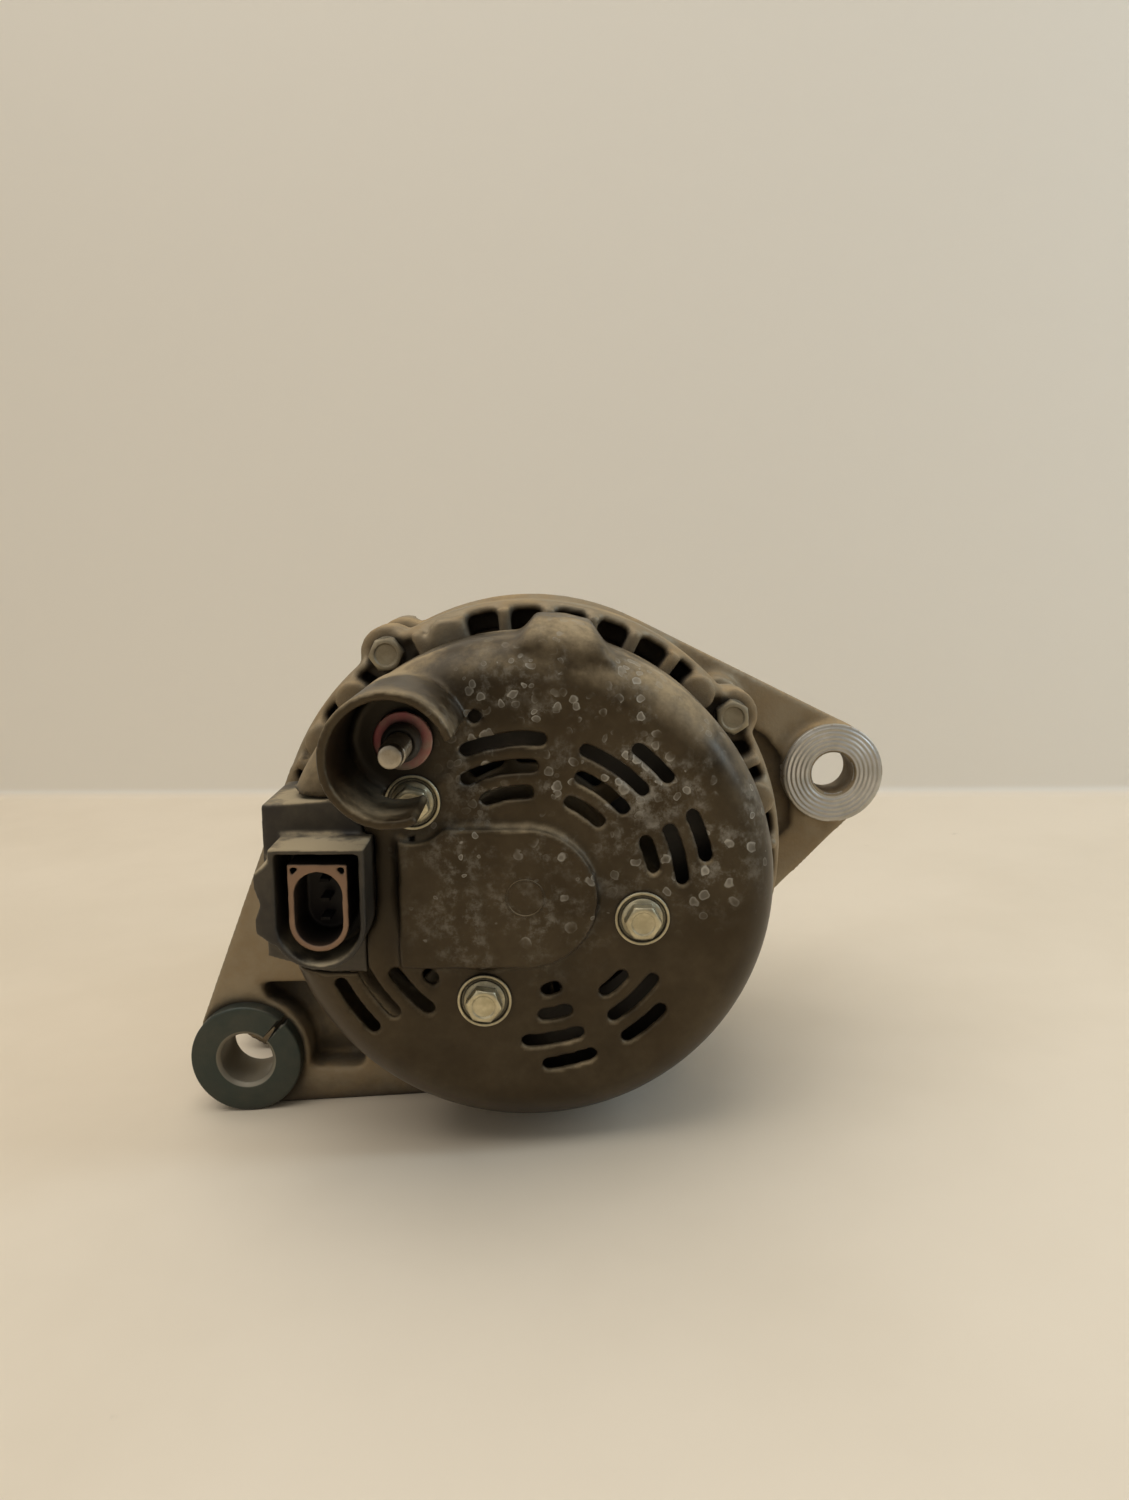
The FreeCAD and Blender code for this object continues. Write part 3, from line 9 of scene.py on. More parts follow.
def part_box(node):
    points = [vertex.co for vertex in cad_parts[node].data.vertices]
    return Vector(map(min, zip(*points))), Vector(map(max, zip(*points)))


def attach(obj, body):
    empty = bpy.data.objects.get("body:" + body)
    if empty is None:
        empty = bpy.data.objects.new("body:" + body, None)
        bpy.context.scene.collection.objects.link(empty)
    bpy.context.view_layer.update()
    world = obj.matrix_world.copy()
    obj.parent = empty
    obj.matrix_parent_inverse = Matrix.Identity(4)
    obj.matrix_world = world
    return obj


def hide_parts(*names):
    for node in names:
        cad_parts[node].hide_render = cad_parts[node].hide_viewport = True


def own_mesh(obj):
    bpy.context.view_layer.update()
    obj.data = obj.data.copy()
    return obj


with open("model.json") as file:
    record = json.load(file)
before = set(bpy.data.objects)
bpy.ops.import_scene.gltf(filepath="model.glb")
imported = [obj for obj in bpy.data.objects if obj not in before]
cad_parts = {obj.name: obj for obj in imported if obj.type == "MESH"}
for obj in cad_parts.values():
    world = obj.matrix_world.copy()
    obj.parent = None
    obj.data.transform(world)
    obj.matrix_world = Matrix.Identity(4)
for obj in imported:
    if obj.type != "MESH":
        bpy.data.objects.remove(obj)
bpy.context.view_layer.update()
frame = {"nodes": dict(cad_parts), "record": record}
mm = 0.001
mounts = {m["name"]: np.array(m["pos_m"]) for m in frame["record"]["mounts"]}
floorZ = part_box("front_housing")[0].z  # the ear and the drum stand on this line
print("stage: frame loaded")


def placed(name, data):
    made = bpy.data.objects.new(name, data)
    bpy.context.scene.collection.objects.link(made)
    return made


def solidPlaces(node):
    # lowest and highest corner of each separate solid of a node
    mesh = bmesh.new()
    mesh.from_mesh(frame["nodes"][node].data)
    bmesh.ops.remove_doubles(mesh, verts=mesh.verts, dist=1e-6)
    found = []
    waiting = set(mesh.verts)
    while waiting:
        group = [waiting.pop()]
        for vert in group:
            for edge in vert.link_edges:
                other = edge.other_vert(vert)
                if other in waiting:
                    waiting.remove(other)
                    group.append(other)
        points = np.array([v.co for v in group])
        found.append((points.min(0), points.max(0)))
    mesh.free()
    return sorted(found, key=lambda pair: tuple(np.round(pair[0], 5)))


def gridFaces(rows, columns, closedRows=False, closedColumns=False):
    # quads between neighbours of a grid stored row by row
    r = np.arange(rows if closedRows else rows - 1)[:, None]
    c = np.arange(columns if closedColumns else columns - 1)[None, :]
    r2 = (r + 1) % rows
    c2 = (c + 1) % columns
    quads = np.stack([r * columns + c, r * columns + c2, r2 * columns + c2, r2 * columns + c], -1)
    return quads.reshape(-1, 4).tolist()


def addPiece(name, parts, material, body="housing", replaces=(), smoothAngle=35.0):
    # parts are (points, faces) pairs; seams are merged and the faces turned outwards
    points, faces = joined(parts)
    mesh = bpy.data.meshes.new(name)
    mesh.from_pydata(points.tolist(), [], faces)
    tidy = bmesh.new()
    tidy.from_mesh(mesh)
    bmesh.ops.remove_doubles(tidy, verts=tidy.verts, dist=2e-7)
    bmesh.ops.dissolve_degenerate(tidy, edges=tidy.edges, dist=1e-7)
    bmesh.ops.recalc_face_normals(tidy, faces=tidy.faces)
    for edge in tidy.edges:
        bent = len(edge.link_faces) == 2 and edge.calc_face_angle(0.0) > math.radians(smoothAngle)
        edge.smooth = not bent
    tidy.to_mesh(mesh)
    tidy.free()
    piece = placed(name, mesh)
    mesh.materials.append(materials[material])
    mesh.polygons.foreach_set("use_smooth", [True] * len(mesh.polygons))
    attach(piece, body)
    if replaces:
        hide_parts(*replaces)
    return piece


def joined(parts):
    # several (points, faces) pairs as one pair
    allPoints, allFaces, start = [], [], 0
    for points, faces in parts:
        points = np.asarray(points, float).reshape(-1, 3)
        allPoints.append(points)
        allFaces += [[i + start for i in face] for face in faces]
        start += len(points)
    return np.vstack(allPoints), allFaces


def roundCorners(profile, radius, steps=4, closed=True):
    # each corner of an outline becomes a quadratic curve that leaves and meets its sides;
    # it reaches as far as an arc of the radius would, at most 0.45 of a side
    points = np.asarray(profile, float)
    out = []
    for i, corner in enumerate(points):
        if not closed and i in (0, len(points) - 1):
            out.append(corner)
            continue
        before = points[i - 1] - corner
        after = points[(i + 1) % len(points)] - corner
        a, b = np.linalg.norm(before), np.linalg.norm(after)
        before, after = before / a, after / b
        half = math.acos(np.clip(before @ after, -1, 1)) / 2
        reach = min(radius / math.tan(half), 0.45 * a, 0.45 * b) if half < 1.5 else 0
        if reach < 1e-7:
            out.append(corner)
            continue
        for step in np.linspace(0, 1, steps + 1):
            out.append(corner + before * reach * (1 - step) ** 2 + after * reach * step ** 2)
    return np.array(out)


def turnedSurface(profile, x=0.0, z=0.0, segments=96, closed=True):
    # a profile of (radius, station) carried round an axis along Y:
    # point = (x + radius cos a, station, z + radius sin a)
    profile = np.asarray(profile, float)
    a = np.linspace(0, 2 * math.pi, segments, endpoint=False)
    radius, station = profile[:, 0][:, None], profile[:, 1][:, None]
    points = np.stack([x + radius * np.cos(a), station + 0 * a, z + radius * np.sin(a)], -1)
    return points.reshape(-1, 3), gridFaces(len(profile), segments, closed, True)


def hexReach(a, flats, turn=0.0):
    # distance from the axis to a hexagon's side at angle a
    return flats / 2 / np.cos((a + turn) % (math.pi / 3) - math.pi / 6)


boltShape = {"cone": 0.47, "collar": 0.56, "foot": 0.985, "threadDepth": 0.26, "tip": 0.82, "segments": 96}


def hexBolt(x, z, seat, look, turn=0.0):
    # rows of (reach, station) round the axis: shank tip, thread, shank, flange, six flats
    # whose corners are cut by a cone, and a dished middle; the head points to -Y
    a = np.linspace(0, 2 * math.pi, boltShape["segments"], endpoint=False)
    hexagon = hexReach(a, look["flats"], turn)
    top = seat - look["head"]
    cone = boltShape["cone"] * look["flats"]
    station = np.arange(look["end"], look["threadStart"], -look["pitch"] / 6)
    wave = np.cos(2 * math.pi * station[:, None] / look["pitch"] + a)
    thread = look["shank"] - look["pitch"] * boltShape["threadDepth"] * (1 + wave)
    fade = np.clip((look["end"] - station[:, None]) / look["pitch"], 0, 1)
    thread = thread * (boltShape["tip"] + (1 - boltShape["tip"]) * fade)
    rows = [(0 * a, look["end"] + 0 * a)]
    rows += list(zip(thread, np.broadcast_to(station[:, None], thread.shape)))
    flange, thick = look["flange"], look["flangeThick"]
    for reach, y in roundCorners([(look["shank"], look["threadStart"]), (look["shank"], seat),
                                  (flange, seat), (flange, seat - thick * 0.5),
                                  (look["flats"] * boltShape["collar"], seat - thick)], 0.3 * mm, 3, False):
        rows.append((reach + 0 * a, y + 0 * a))
    low = seat - thick - 0.1 * mm
    rows.append((hexagon * boltShape["foot"], low + 0 * a))
    rows.append((hexagon, low - 0.25 * mm + 0 * a))
    shoulder = top + (hexagon - cone) * 0.6
    rows.append((hexagon, shoulder + 0.12 * mm))
    rows.append((hexagon - 0.1 * mm, shoulder - 0.05 * mm))
    rows.append((cone + 0 * a, top + 0.04 * mm + 0 * a))
    dish = look["dish"]
    for share, depth in ((0.9, 0.0), (0.8, 0.0), (0.72, dish), (0.3, dish * 1.2), (0, dish * 1.2)):
        rows.append((cone * share + 0 * a, top + depth + 0 * a))
    reach = np.array([row[0] for row in rows])
    y = np.array([row[1] for row in rows])
    points = np.stack([x + reach * np.cos(a), y, z + reach * np.sin(a)], -1)
    return points.reshape(-1, 3), gridFaces(len(rows), boltShape["segments"], False, True)


def threadedRod(x, z, look):
    # a rod along Y: radius = crest - depth (1 + cos(2 pi y / pitch + a)) / 2 between two stations
    a = np.linspace(0, 2 * math.pi, 64, endpoint=False)
    station = np.arange(look["threadStart"], look["threadEnd"], look["pitch"] / 8)
    wave = (1 + np.cos(2 * math.pi * station[:, None] / look["pitch"] + a)) / 2
    fade = np.clip(np.minimum(station - station[0], station[-1] - station) / look["pitch"], 0, 1)[:, None]
    thread = look["crest"] - look["depth"] * (wave ** 1.4 * fade + (1 - fade))
    rows = [(reach + 0 * a, y + 0 * a) for reach, y in look["tip"]]
    rows += list(zip(thread, np.broadcast_to(station[:, None], thread.shape)))
    rows += [(reach + 0 * a, y + 0 * a) for reach, y in look["root"]]
    reach = np.array([row[0] for row in rows])
    y = np.array([row[1] for row in rows])
    points = np.stack([x + reach * np.cos(a), y, z + reach * np.sin(a)], -1)
    return points.reshape(-1, 3), gridFaces(len(rows), 64, False, True)


def sweptTube(path, radius, sides=8, closed=False):
    # a round wire along a path: each ring stands across the path's own direction
    path = np.asarray(path, float)
    if closed:
        along = np.roll(path, -1, 0) - np.roll(path, 1, 0)
    else:
        along = np.gradient(path, axis=0)
    along /= np.linalg.norm(along, axis=1)[:, None]
    helper = np.array([0.0, 0.0, 1.0]) if abs(along[:, 2]).max() < 0.95 else np.array([0.0, 1.0, 0.0])
    side = np.cross(along, helper)
    side /= np.linalg.norm(side, axis=1)[:, None]
    up = np.cross(side, along)
    a = np.linspace(0, 2 * math.pi, sides, endpoint=False)
    ring = side[:, None] * np.cos(a)[None, :, None] + up[:, None] * np.sin(a)[None, :, None]
    points = (path[:, None] + radius * ring).reshape(-1, 3)
    faces = gridFaces(len(path), sides, closed, True)
    if not closed:
        faces += [list(range(sides)), list(range(len(points) - sides, len(points)))]
    return points, faces


def put(tree, kind, settings=None, **sockets):
    # adds a node; a socket is given a value or another node's output
    made = tree.nodes.new(kind)
    for key, value in (settings or {}).items():
        setattr(made, key, value)
    for key, value in sockets.items():
        name = key.replace("_", " ")
        target = made.inputs[int(key[1:])] if key[0] == "n" and key[1:].isdigit() else made.inputs[name]
        if isinstance(value, bpy.types.NodeSocket):
            tree.links.new(value, target)
        else:
            target.default_value = value
    return made


def newGroup(name, inputs, outputs):
    tree = bpy.data.node_groups.new(name, "ShaderNodeTree")
    for title, kind, value in inputs:
        socket = tree.interface.new_socket(title, in_out="INPUT", socket_type=kind)
        if value is not None:
            socket.default_value = value
    for title, kind in outputs:
        tree.interface.new_socket(title, in_out="OUTPUT", socket_type=kind)
    return tree, tree.nodes.new("NodeGroupInput"), tree.nodes.new("NodeGroupOutput")


def ramp(tree, value, low, high):
    # 0 at low, 1 at high, smooth between
    made = put(tree, "ShaderNodeMapRange", {"interpolation_type": "SMOOTHSTEP"}, n0=value, n1=low, n2=high)
    return made.outputs[0]


def maths(tree, operation, a, b=0.0):
    return put(tree, "ShaderNodeMath", {"operation": operation}, n0=a, n1=b).outputs[0]


def mixColour(tree, mask, a, b, blend="MIX"):
    made = tree.nodes.new("ShaderNodeMix")
    made.data_type = "RGBA"
    made.blend_type = blend
    for index, value in ((0, mask), (6, a), (7, b)):
        if isinstance(value, bpy.types.NodeSocket):
            tree.links.new(value, made.inputs[index])
        else:
            made.inputs[index].default_value = value
    return made.outputs[2]


def noise(tree, vector, scale, detail=4.0, roughness=0.55):
    return put(tree, "ShaderNodeTexNoise", None, Vector=vector, Scale=scale, Detail=detail,
               Roughness=roughness).outputs[0]


def objectPlace(tree):
    return tree.nodes.new("ShaderNodeTexCoord").outputs["Object"]


def vectorMaths(tree, operation, *values):
    sockets = {f"n{number}": value for number, value in enumerate(values)}
    made = put(tree, "ShaderNodeVectorMath", {"operation": operation}, **sockets)
    return made.outputs["Value" if operation in ("DOT_PRODUCT", "LENGTH") else "Vector"]


def sendMix(tree, outside, mask, a, b):
    # a group's first two outputs: the mixed colour, and the mask that mixed it
    tree.links.new(mixColour(tree, mask, a, b), outside.inputs[0])
    tree.links.new(mask, outside.inputs[1])


colourAndMask = [("Colour", "NodeSocketColor"), ("Mask", "NodeSocketFloat")]


def dustGroup():
    # dust lies thickest on faces that look up, broken by two sizes of patches
    tree, inside, outside = newGroup("settledDust", [
        ("Colour", "NodeSocketColor", None), ("Dust", "NodeSocketColor", None),
        ("Amount", "NodeSocketFloat", 0.5), ("Everywhere", "NodeSocketFloat", 0.2),
        ("Patch scale", "NodeSocketFloat", 60.0)], colourAndMask)
    where = tree.nodes.new("ShaderNodeTexCoord")
    place, patchScale = where.outputs["Object"], inside.outputs["Patch scale"]
    up = put(tree, "ShaderNodeSeparateXYZ", None, Vector=where.outputs["Normal"]).outputs[2]
    facing = ramp(tree, up, -0.05, 0.9)
    big = ramp(tree, noise(tree, place, patchScale, 6.0, 0.62), 0.36, 0.66)
    fine = noise(tree, place, maths(tree, "MULTIPLY", patchScale, 9.0), 3.0, 0.7)
    spread = maths(tree, "MAXIMUM", facing, inside.outputs["Everywhere"])
    patches = maths(tree, "MULTIPLY", big, maths(tree, "ADD", fine, 0.35))
    mask = maths(tree, "MULTIPLY", maths(tree, "MULTIPLY", spread, patches), inside.outputs["Amount"])
    mask = put(tree, "ShaderNodeClamp", None, Value=mask).outputs[0]
    sendMix(tree, outside, mask, inside.outputs["Colour"], inside.outputs["Dust"])
    return tree


def wearGroup():
    # edges rubbed to another colour where the rounded normal leaves the true one, broken by noise
    tree, inside, outside = newGroup("edgeWear", [
        ("Colour", "NodeSocketColor", None), ("Worn", "NodeSocketColor", None),
        ("Width", "NodeSocketFloat", 0.0006), ("Amount", "NodeSocketFloat", 0.7)],
        colourAndMask + [("Normal", "NodeSocketVector")])
    surface = tree.nodes.new("ShaderNodeNewGeometry")
    rounded = put(tree, "ShaderNodeBevel", {"samples": 4}, Radius=inside.outputs["Width"]).outputs[0]
    along = vectorMaths(tree, "DOT_PRODUCT", rounded, surface.outputs["Normal"])
    away = ramp(tree, maths(tree, "SUBTRACT", 1.0, along), 0.004, 0.12)
    rough = ramp(tree, noise(tree, objectPlace(tree), 420.0, 5.0, 0.7), 0.38, 0.62)
    mask = maths(tree, "MULTIPLY", maths(tree, "MULTIPLY", away, rough), inside.outputs["Amount"])
    sendMix(tree, outside, mask, inside.outputs["Colour"], inside.outputs["Worn"])
    tree.links.new(rounded, outside.inputs[2])
    return tree


def tintGroup():
    # slow changes of colour, for stains and handling marks
    tree, inside, outside = newGroup("unevenTint", [
        ("Colour", "NodeSocketColor", None), ("Other", "NodeSocketColor", None),
        ("Scale", "NodeSocketFloat", 40.0), ("Amount", "NodeSocketFloat", 0.5)], colourAndMask)
    slow = noise(tree, objectPlace(tree), inside.outputs["Scale"], 5.0, 0.6)
    mask = maths(tree, "MULTIPLY", ramp(tree, slow, 0.35, 0.68), inside.outputs["Amount"])
    sendMix(tree, outside, mask, inside.outputs["Colour"], inside.outputs["Other"])
    return tree


def paintedShadeGroup():
    # painted shade in corners and pockets: darker by how much of the surroundings the surface can't see,
    # broken by noise specks
    tree, inside, outside = newGroup("cornerGrime", [
        ("Colour", "NodeSocketColor", None), ("Grime", "NodeSocketColor", None),
        ("Reach", "NodeSocketFloat", 0.012), ("Amount", "NodeSocketFloat", 0.8)], colourAndMask)
    around = put(tree, "ShaderNodeAmbientOcclusion", {"samples": 6}, Distance=inside.outputs["Reach"])
    speck = maths(tree, "MULTIPLY", noise(tree, objectPlace(tree), 160.0, 5.0, 0.65), 0.35)
    hidden = maths(tree, "SUBTRACT", 1.12, maths(tree, "ADD", around.outputs["AO"], speck))
    mask = maths(tree, "MULTIPLY", ramp(tree, hidden, 0.02, 0.55), inside.outputs["Amount"])
    sendMix(tree, outside, mask, inside.outputs["Colour"], inside.outputs["Grime"])
    return tree


def spotsGroup():
    # dried drops: chosen cells of a scattered pattern hold a ring round a paler middle,
    # and slow noise bends the drops out of round
    tree, inside, outside = newGroup("driedDrops", [
        ("Scale", "NodeSocketFloat", 220.0), ("Size", "NodeSocketFloat", 0.3),
        ("Share", "NodeSocketFloat", 0.3)], [("Mask", "NodeSocketFloat")])
    place = objectPlace(tree)
    shift = put(tree, "ShaderNodeTexNoise", None, Vector=place, Scale=300.0, Detail=2.0).outputs[1]
    bent = vectorMaths(tree, "MULTIPLY_ADD", shift, (0.0022, 0.0022, 0.0022), place)
    cells = put(tree, "ShaderNodeTexVoronoi", {"feature": "F1"}, Vector=bent,
                Scale=inside.outputs["Scale"], Randomness=1.0)
    pick = put(tree, "ShaderNodeSeparateColor", None, Color=cells.outputs["Color"])
    chosen = maths(tree, "LESS_THAN", pick.outputs[0], inside.outputs["Share"])
    size = maths(tree, "MULTIPLY", inside.outputs["Size"], maths(tree, "ADD", pick.outputs[1], 0.25))
    ratio = maths(tree, "DIVIDE", cells.outputs["Distance"], size)
    disc = maths(tree, "SUBTRACT", 1.0, ramp(tree, ratio, 0.85, 1.05))
    ring = maths(tree, "MULTIPLY", disc, ramp(tree, ratio, 0.55, 0.95))
    body = maths(tree, "ADD", maths(tree, "MULTIPLY", ring, 0.7), maths(tree, "MULTIPLY", disc, 0.4))
    tree.links.new(maths(tree, "MULTIPLY", body, chosen), outside.inputs[0])
    return tree


def grainGroup():
    # height of a cast or moulded skin: fine noise over a slower swell
    tree, inside, outside = newGroup("skinGrain", [
        ("Scale", "NodeSocketFloat", 900.0), ("Swell", "NodeSocketFloat", 0.4)],
        [("Height", "NodeSocketFloat")])
    place = objectPlace(tree)
    fine = noise(tree, place, inside.outputs["Scale"], 3.0, 0.6)
    slow = noise(tree, place, maths(tree, "MULTIPLY", inside.outputs["Scale"], 0.12), 4.0, 0.6)
    swell = maths(tree, "MULTIPLY", slow, inside.outputs["Swell"])
    tree.links.new(maths(tree, "ADD", fine, swell), outside.inputs[0])
    return tree


def turningGroup():
    # a lathe's fine rings about an axis along Y through the centre, and the distance from it
    tree, inside, outside = newGroup("turningRings", [
        ("Centre", "NodeSocketVector", None), ("Pitch", "NodeSocketFloat", 0.0006)],
        [("Height", "NodeSocketFloat"), ("Reach", "NodeSocketFloat")])
    place = objectPlace(tree)
    offset = vectorMaths(tree, "SUBTRACT", place, inside.outputs["Centre"])
    reach = vectorMaths(tree, "LENGTH", vectorMaths(tree, "MULTIPLY", offset, (1.0, 0.0, 1.0)))
    turns = maths(tree, "MULTIPLY", maths(tree, "DIVIDE", reach, inside.outputs["Pitch"]), 2 * math.pi)
    wobble = maths(tree, "MULTIPLY", noise(tree, place, 150.0, 3.0), 2.0)
    tree.links.new(maths(tree, "SINE", maths(tree, "ADD", turns, wobble)), outside.inputs[0])
    tree.links.new(reach, outside.inputs[1])
    return tree


groups = {made.name: made for made in (dustGroup(), wearGroup(), tintGroup(), paintedShadeGroup(), spotsGroup(),
                                       grainGroup(), turningGroup())}


def use(tree, group, **sockets):
    made = tree.nodes.new("ShaderNodeGroup")
    made.node_tree = groups[group]
    for key, value in sockets.items():
        target = made.inputs[key.replace("_", " ")]
        if isinstance(value, bpy.types.NodeSocket):
            tree.links.new(value, target)
        else:
            target.default_value = value
    return made


def rgb(red, green, blue):
    return (red, green, blue, 1.0)


def newMaterial(name):
    material = bpy.data.materials.new(name)
    material.use_nodes = True
    tree = material.node_tree
    return material, tree, tree.nodes["Principled BSDF"]


def finishMaterial(tree, shader, colour, roughness, height, strength, distance, normal=None):
    tree.links.new(colour, shader.inputs["Base Color"])
    if isinstance(roughness, bpy.types.NodeSocket):
        tree.links.new(roughness, shader.inputs["Roughness"])
    else:
        shader.inputs["Roughness"].default_value = roughness
    bump = put(tree, "ShaderNodeBump", None, Strength=strength, Distance=distance, Height=height)
    if normal is not None:
        tree.links.new(normal, bump.inputs["Normal"])
    tree.links.new(bump.outputs[0], shader.inputs["Normal"])


def tinted(tree, base, other, look):
    return use(tree, "unevenTint", Colour=rgb(*base), Other=rgb(*other), Scale=look["stain"],
               Amount=look["stained"])


def rubbed(tree, colour, worn, look):
    return use(tree, "edgeWear", Colour=colour, Worn=rgb(*worn), Width=look["edge"], Amount=look["worn"])


def dusted(tree, colour, dust, look):
    return use(tree, "settledDust", Colour=colour, Dust=rgb(*dust), Amount=look["dust"],
               Everywhere=look["everywhere"], Patch_scale=look["patch"])


def withPaintedShade(tree, colour, look):
    return use(tree, "cornerGrime", Colour=colour, Grime=rgb(*look["grime"]), Reach=look["grimeReach"],
               Amount=look["grimy"])


def rougher(tree, rough, mask, share):
    return maths(tree, "ADD", rough, maths(tree, "MULTIPLY", mask, share))


metalUsual = {
    "stain": 90.0, "stained": 0.6, "grain": 1500.0, "swell": 0.5, "edge": 0.0004, "worn": 0.6, "dust": 0.4,
    "everywhere": 0.25, "patch": 70.0, "grime": (0.022, 0.017, 0.011), "grimeReach": 0.008, "grimy": 0.7,
    "metal": 1.0, "rough": 0.35, "bump": 0.15, "depth": 0.00005, "brightFade": 0.0003,
}
plasticUsual = {
    "stain": 35.0, "stained": 0.7, "grain": 2200.0, "swell": 0.3, "edge": 0.0005, "worn": 0.5, "dust": 0.6,
    "everywhere": 0.06, "patch": 45.0, "grime": (0.012, 0.010, 0.008), "grimeReach": 0.006, "grimy": 0.5,
    "rough": 0.42, "bump": 0.2, "depth": 0.00004, "specular": 0.5, "sheen": (1.0, 0.95, 0.88), "marks": (),
    "chalk": (0.36, 0.33, 0.27), "dropSize": 0.42, "crust": 0.42,
}


def metalMaterial(name, base, other, worn, dust, look):
    # uneven tint, bright worn edges, dust on top, painted shade in the corners, a fine skin;
    # with a centre it shows turning rings, and inside "bright" the metal is bare
    look = dict(metalUsual, **look)
    material, tree, shader = newMaterial(name)
    tint = tinted(tree, base, other, look)
    colour = tint.outputs[0]
    height = use(tree, "skinGrain", Scale=look["grain"], Swell=look["swell"]).outputs[0]
    if "centre" in look:
        rings = use(tree, "turningRings", Centre=tuple(look["centre"]), Pitch=look["pitch"])
        height = maths(tree, "ADD", height, maths(tree, "MULTIPLY", rings.outputs[0], look["rings"]))
        if "bright" in look:
            past = ramp(tree, rings.outputs[1], look["bright"], look["bright"] + look["brightFade"])
            colour = mixColour(tree, past, rgb(*worn), colour)
    wear = rubbed(tree, colour, worn, look)
    film = dusted(tree, wear.outputs[0], dust, look)
    # painted shade: the colour darkens in corners and pockets
    grime = withPaintedShade(tree, film.outputs[0], look)
    clean = maths(tree, "SUBTRACT", 1.0, maths(tree, "MAXIMUM", film.outputs[1], grime.outputs[1]))
    tree.links.new(maths(tree, "MULTIPLY", clean, look["metal"]), shader.inputs["Metallic"])
    rough = rougher(tree, look["rough"], film.outputs[1], 0.5)
    rough = rougher(tree, rough, tint.outputs[1], 0.12)
    rough = rougher(tree, rough, grime.outputs[1], 0.3)
    finishMaterial(tree, shader, grime.outputs[0], rough, height, look["bump"], look["depth"],
                   wear.outputs[2])
    return material


def driedMarks(tree, place, mark, look):
    # drops and a thin crust, strongest at the mark's centre and gone at its reach, in slow clouds
    centre, reach, scale, share, strength = mark
    away = use(tree, "turningRings", Centre=centre).outputs[1]
    near = maths(tree, "SUBTRACT", 1.0, ramp(tree, away, reach * 0.3, reach))
    clouds = ramp(tree, noise(tree, place, 75.0, 4.0, 0.6), 0.38, 0.58)
    drops = use(tree, "driedDrops", Scale=scale, Size=look["dropSize"], Share=share).outputs[0]
    crust = ramp(tree, noise(tree, place, 230.0, 6.0, 0.7), 0.45, 0.68)
    crust = maths(tree, "MULTIPLY", crust, look["crust"])
    amount = maths(tree, "MULTIPLY", near, maths(tree, "MULTIPLY", clouds, strength))
    return maths(tree, "MULTIPLY", maths(tree, "MAXIMUM", drops, crust), amount)


def plasticMaterial(name, base, other, worn, dust, look):
    # moulded plastic: dusty where it looks up, with rubbed edges and dried marks inside regions
    look = dict(plasticUsual, **look)
    material, tree, shader = newMaterial(name)
    tint = tinted(tree, base, other, look)
    wear = rubbed(tree, tint.outputs[0], worn, look)
    film = dusted(tree, wear.outputs[0], dust, look)
    colour, dull = film.outputs[0], film.outputs[1]
    place = objectPlace(tree)
    for mark in look["marks"]:
        dried = driedMarks(tree, place, mark, look)
        colour = mixColour(tree, dried, colour, rgb(*look["chalk"]))
        dull = maths(tree, "MAXIMUM", dull, dried)
    # painted shade: the colour darkens in corners and pockets
    grime = withPaintedShade(tree, colour, look)
    grain = use(tree, "skinGrain", Scale=look["grain"], Swell=look["swell"]).outputs[0]
    rough = rougher(tree, look["rough"], dull, 0.45)
    rough = rougher(tree, rough, tint.outputs[1], 0.1)
    shader.inputs["Specular IOR Level"].default_value = look["specular"]
    shader.inputs["Specular Tint"].default_value = rgb(*look["sheen"])
    finishMaterial(tree, shader, grime.outputs[0], rough, grain, look["bump"], look["depth"], wear.outputs[2])
    return material


warmDust = (0.30, 0.235, 0.15)
coverLook = {
    "rough": 0.31, "dust": 1.3, "everywhere": 0.07, "specular": 0.42, "sheen": (1.0, 0.84, 0.62),
    # painted shade: wide corner darkening in the slots and the terminal tube
    "grimy": 0.85, "grimeReach": 0.014, "stain": 30.0, "grain": 1800.0,
    "marks": [  # centre, reach, drops per metre, share of cells, strength
        ((0.012, 0.0, 0.038), 0.034, 400.0, 0.75, 1.3), ((0.040, 0.0, 0.016), 0.030, 330.0, 0.40, 1.2),
        ((-0.004, 0.0, 0.004), 0.036, 300.0, 0.34, 0.95)],
}
castLook = {
    "rough": 0.5, "dust": 0.9, "everywhere": 0.45, "grain": 900.0, "bump": 0.6, "depth": 0.0002, "metal": 0.6,
    # painted shade: corner darkening in the casting's pockets
    "worn": 0.75, "stain": 70.0, "edge": 0.0009, "grimy": 0.85, "grimeReach": 0.011,
}
machinedLook = {
    "rough": 0.34, "dust": 0.25, "everywhere": 0.3, "stain": 130.0, "centre": mounts["adjuster_ear"],
    "pitch": 0.0013, "rings": 1.6, "bump": 0.8, "depth": 0.00010, "grain": 1100.0, "grimy": 0.5,
    "grimeReach": 0.003, "metal": 0.85,
}
bushFinish = {
    "rough": 0.42, "dust": 0.3, "metal": 0.5, "stain": 120.0, "grain": 1400.0, "bump": 0.3, "edge": 0.0005,
    "worn": 0.7, "centre": mounts["rear_pivot_bush"], "pitch": 0.0006, "rings": 0.25, "bright": 0.0079,
    "grimeReach": 0.003, "grimy": 0.45,
}
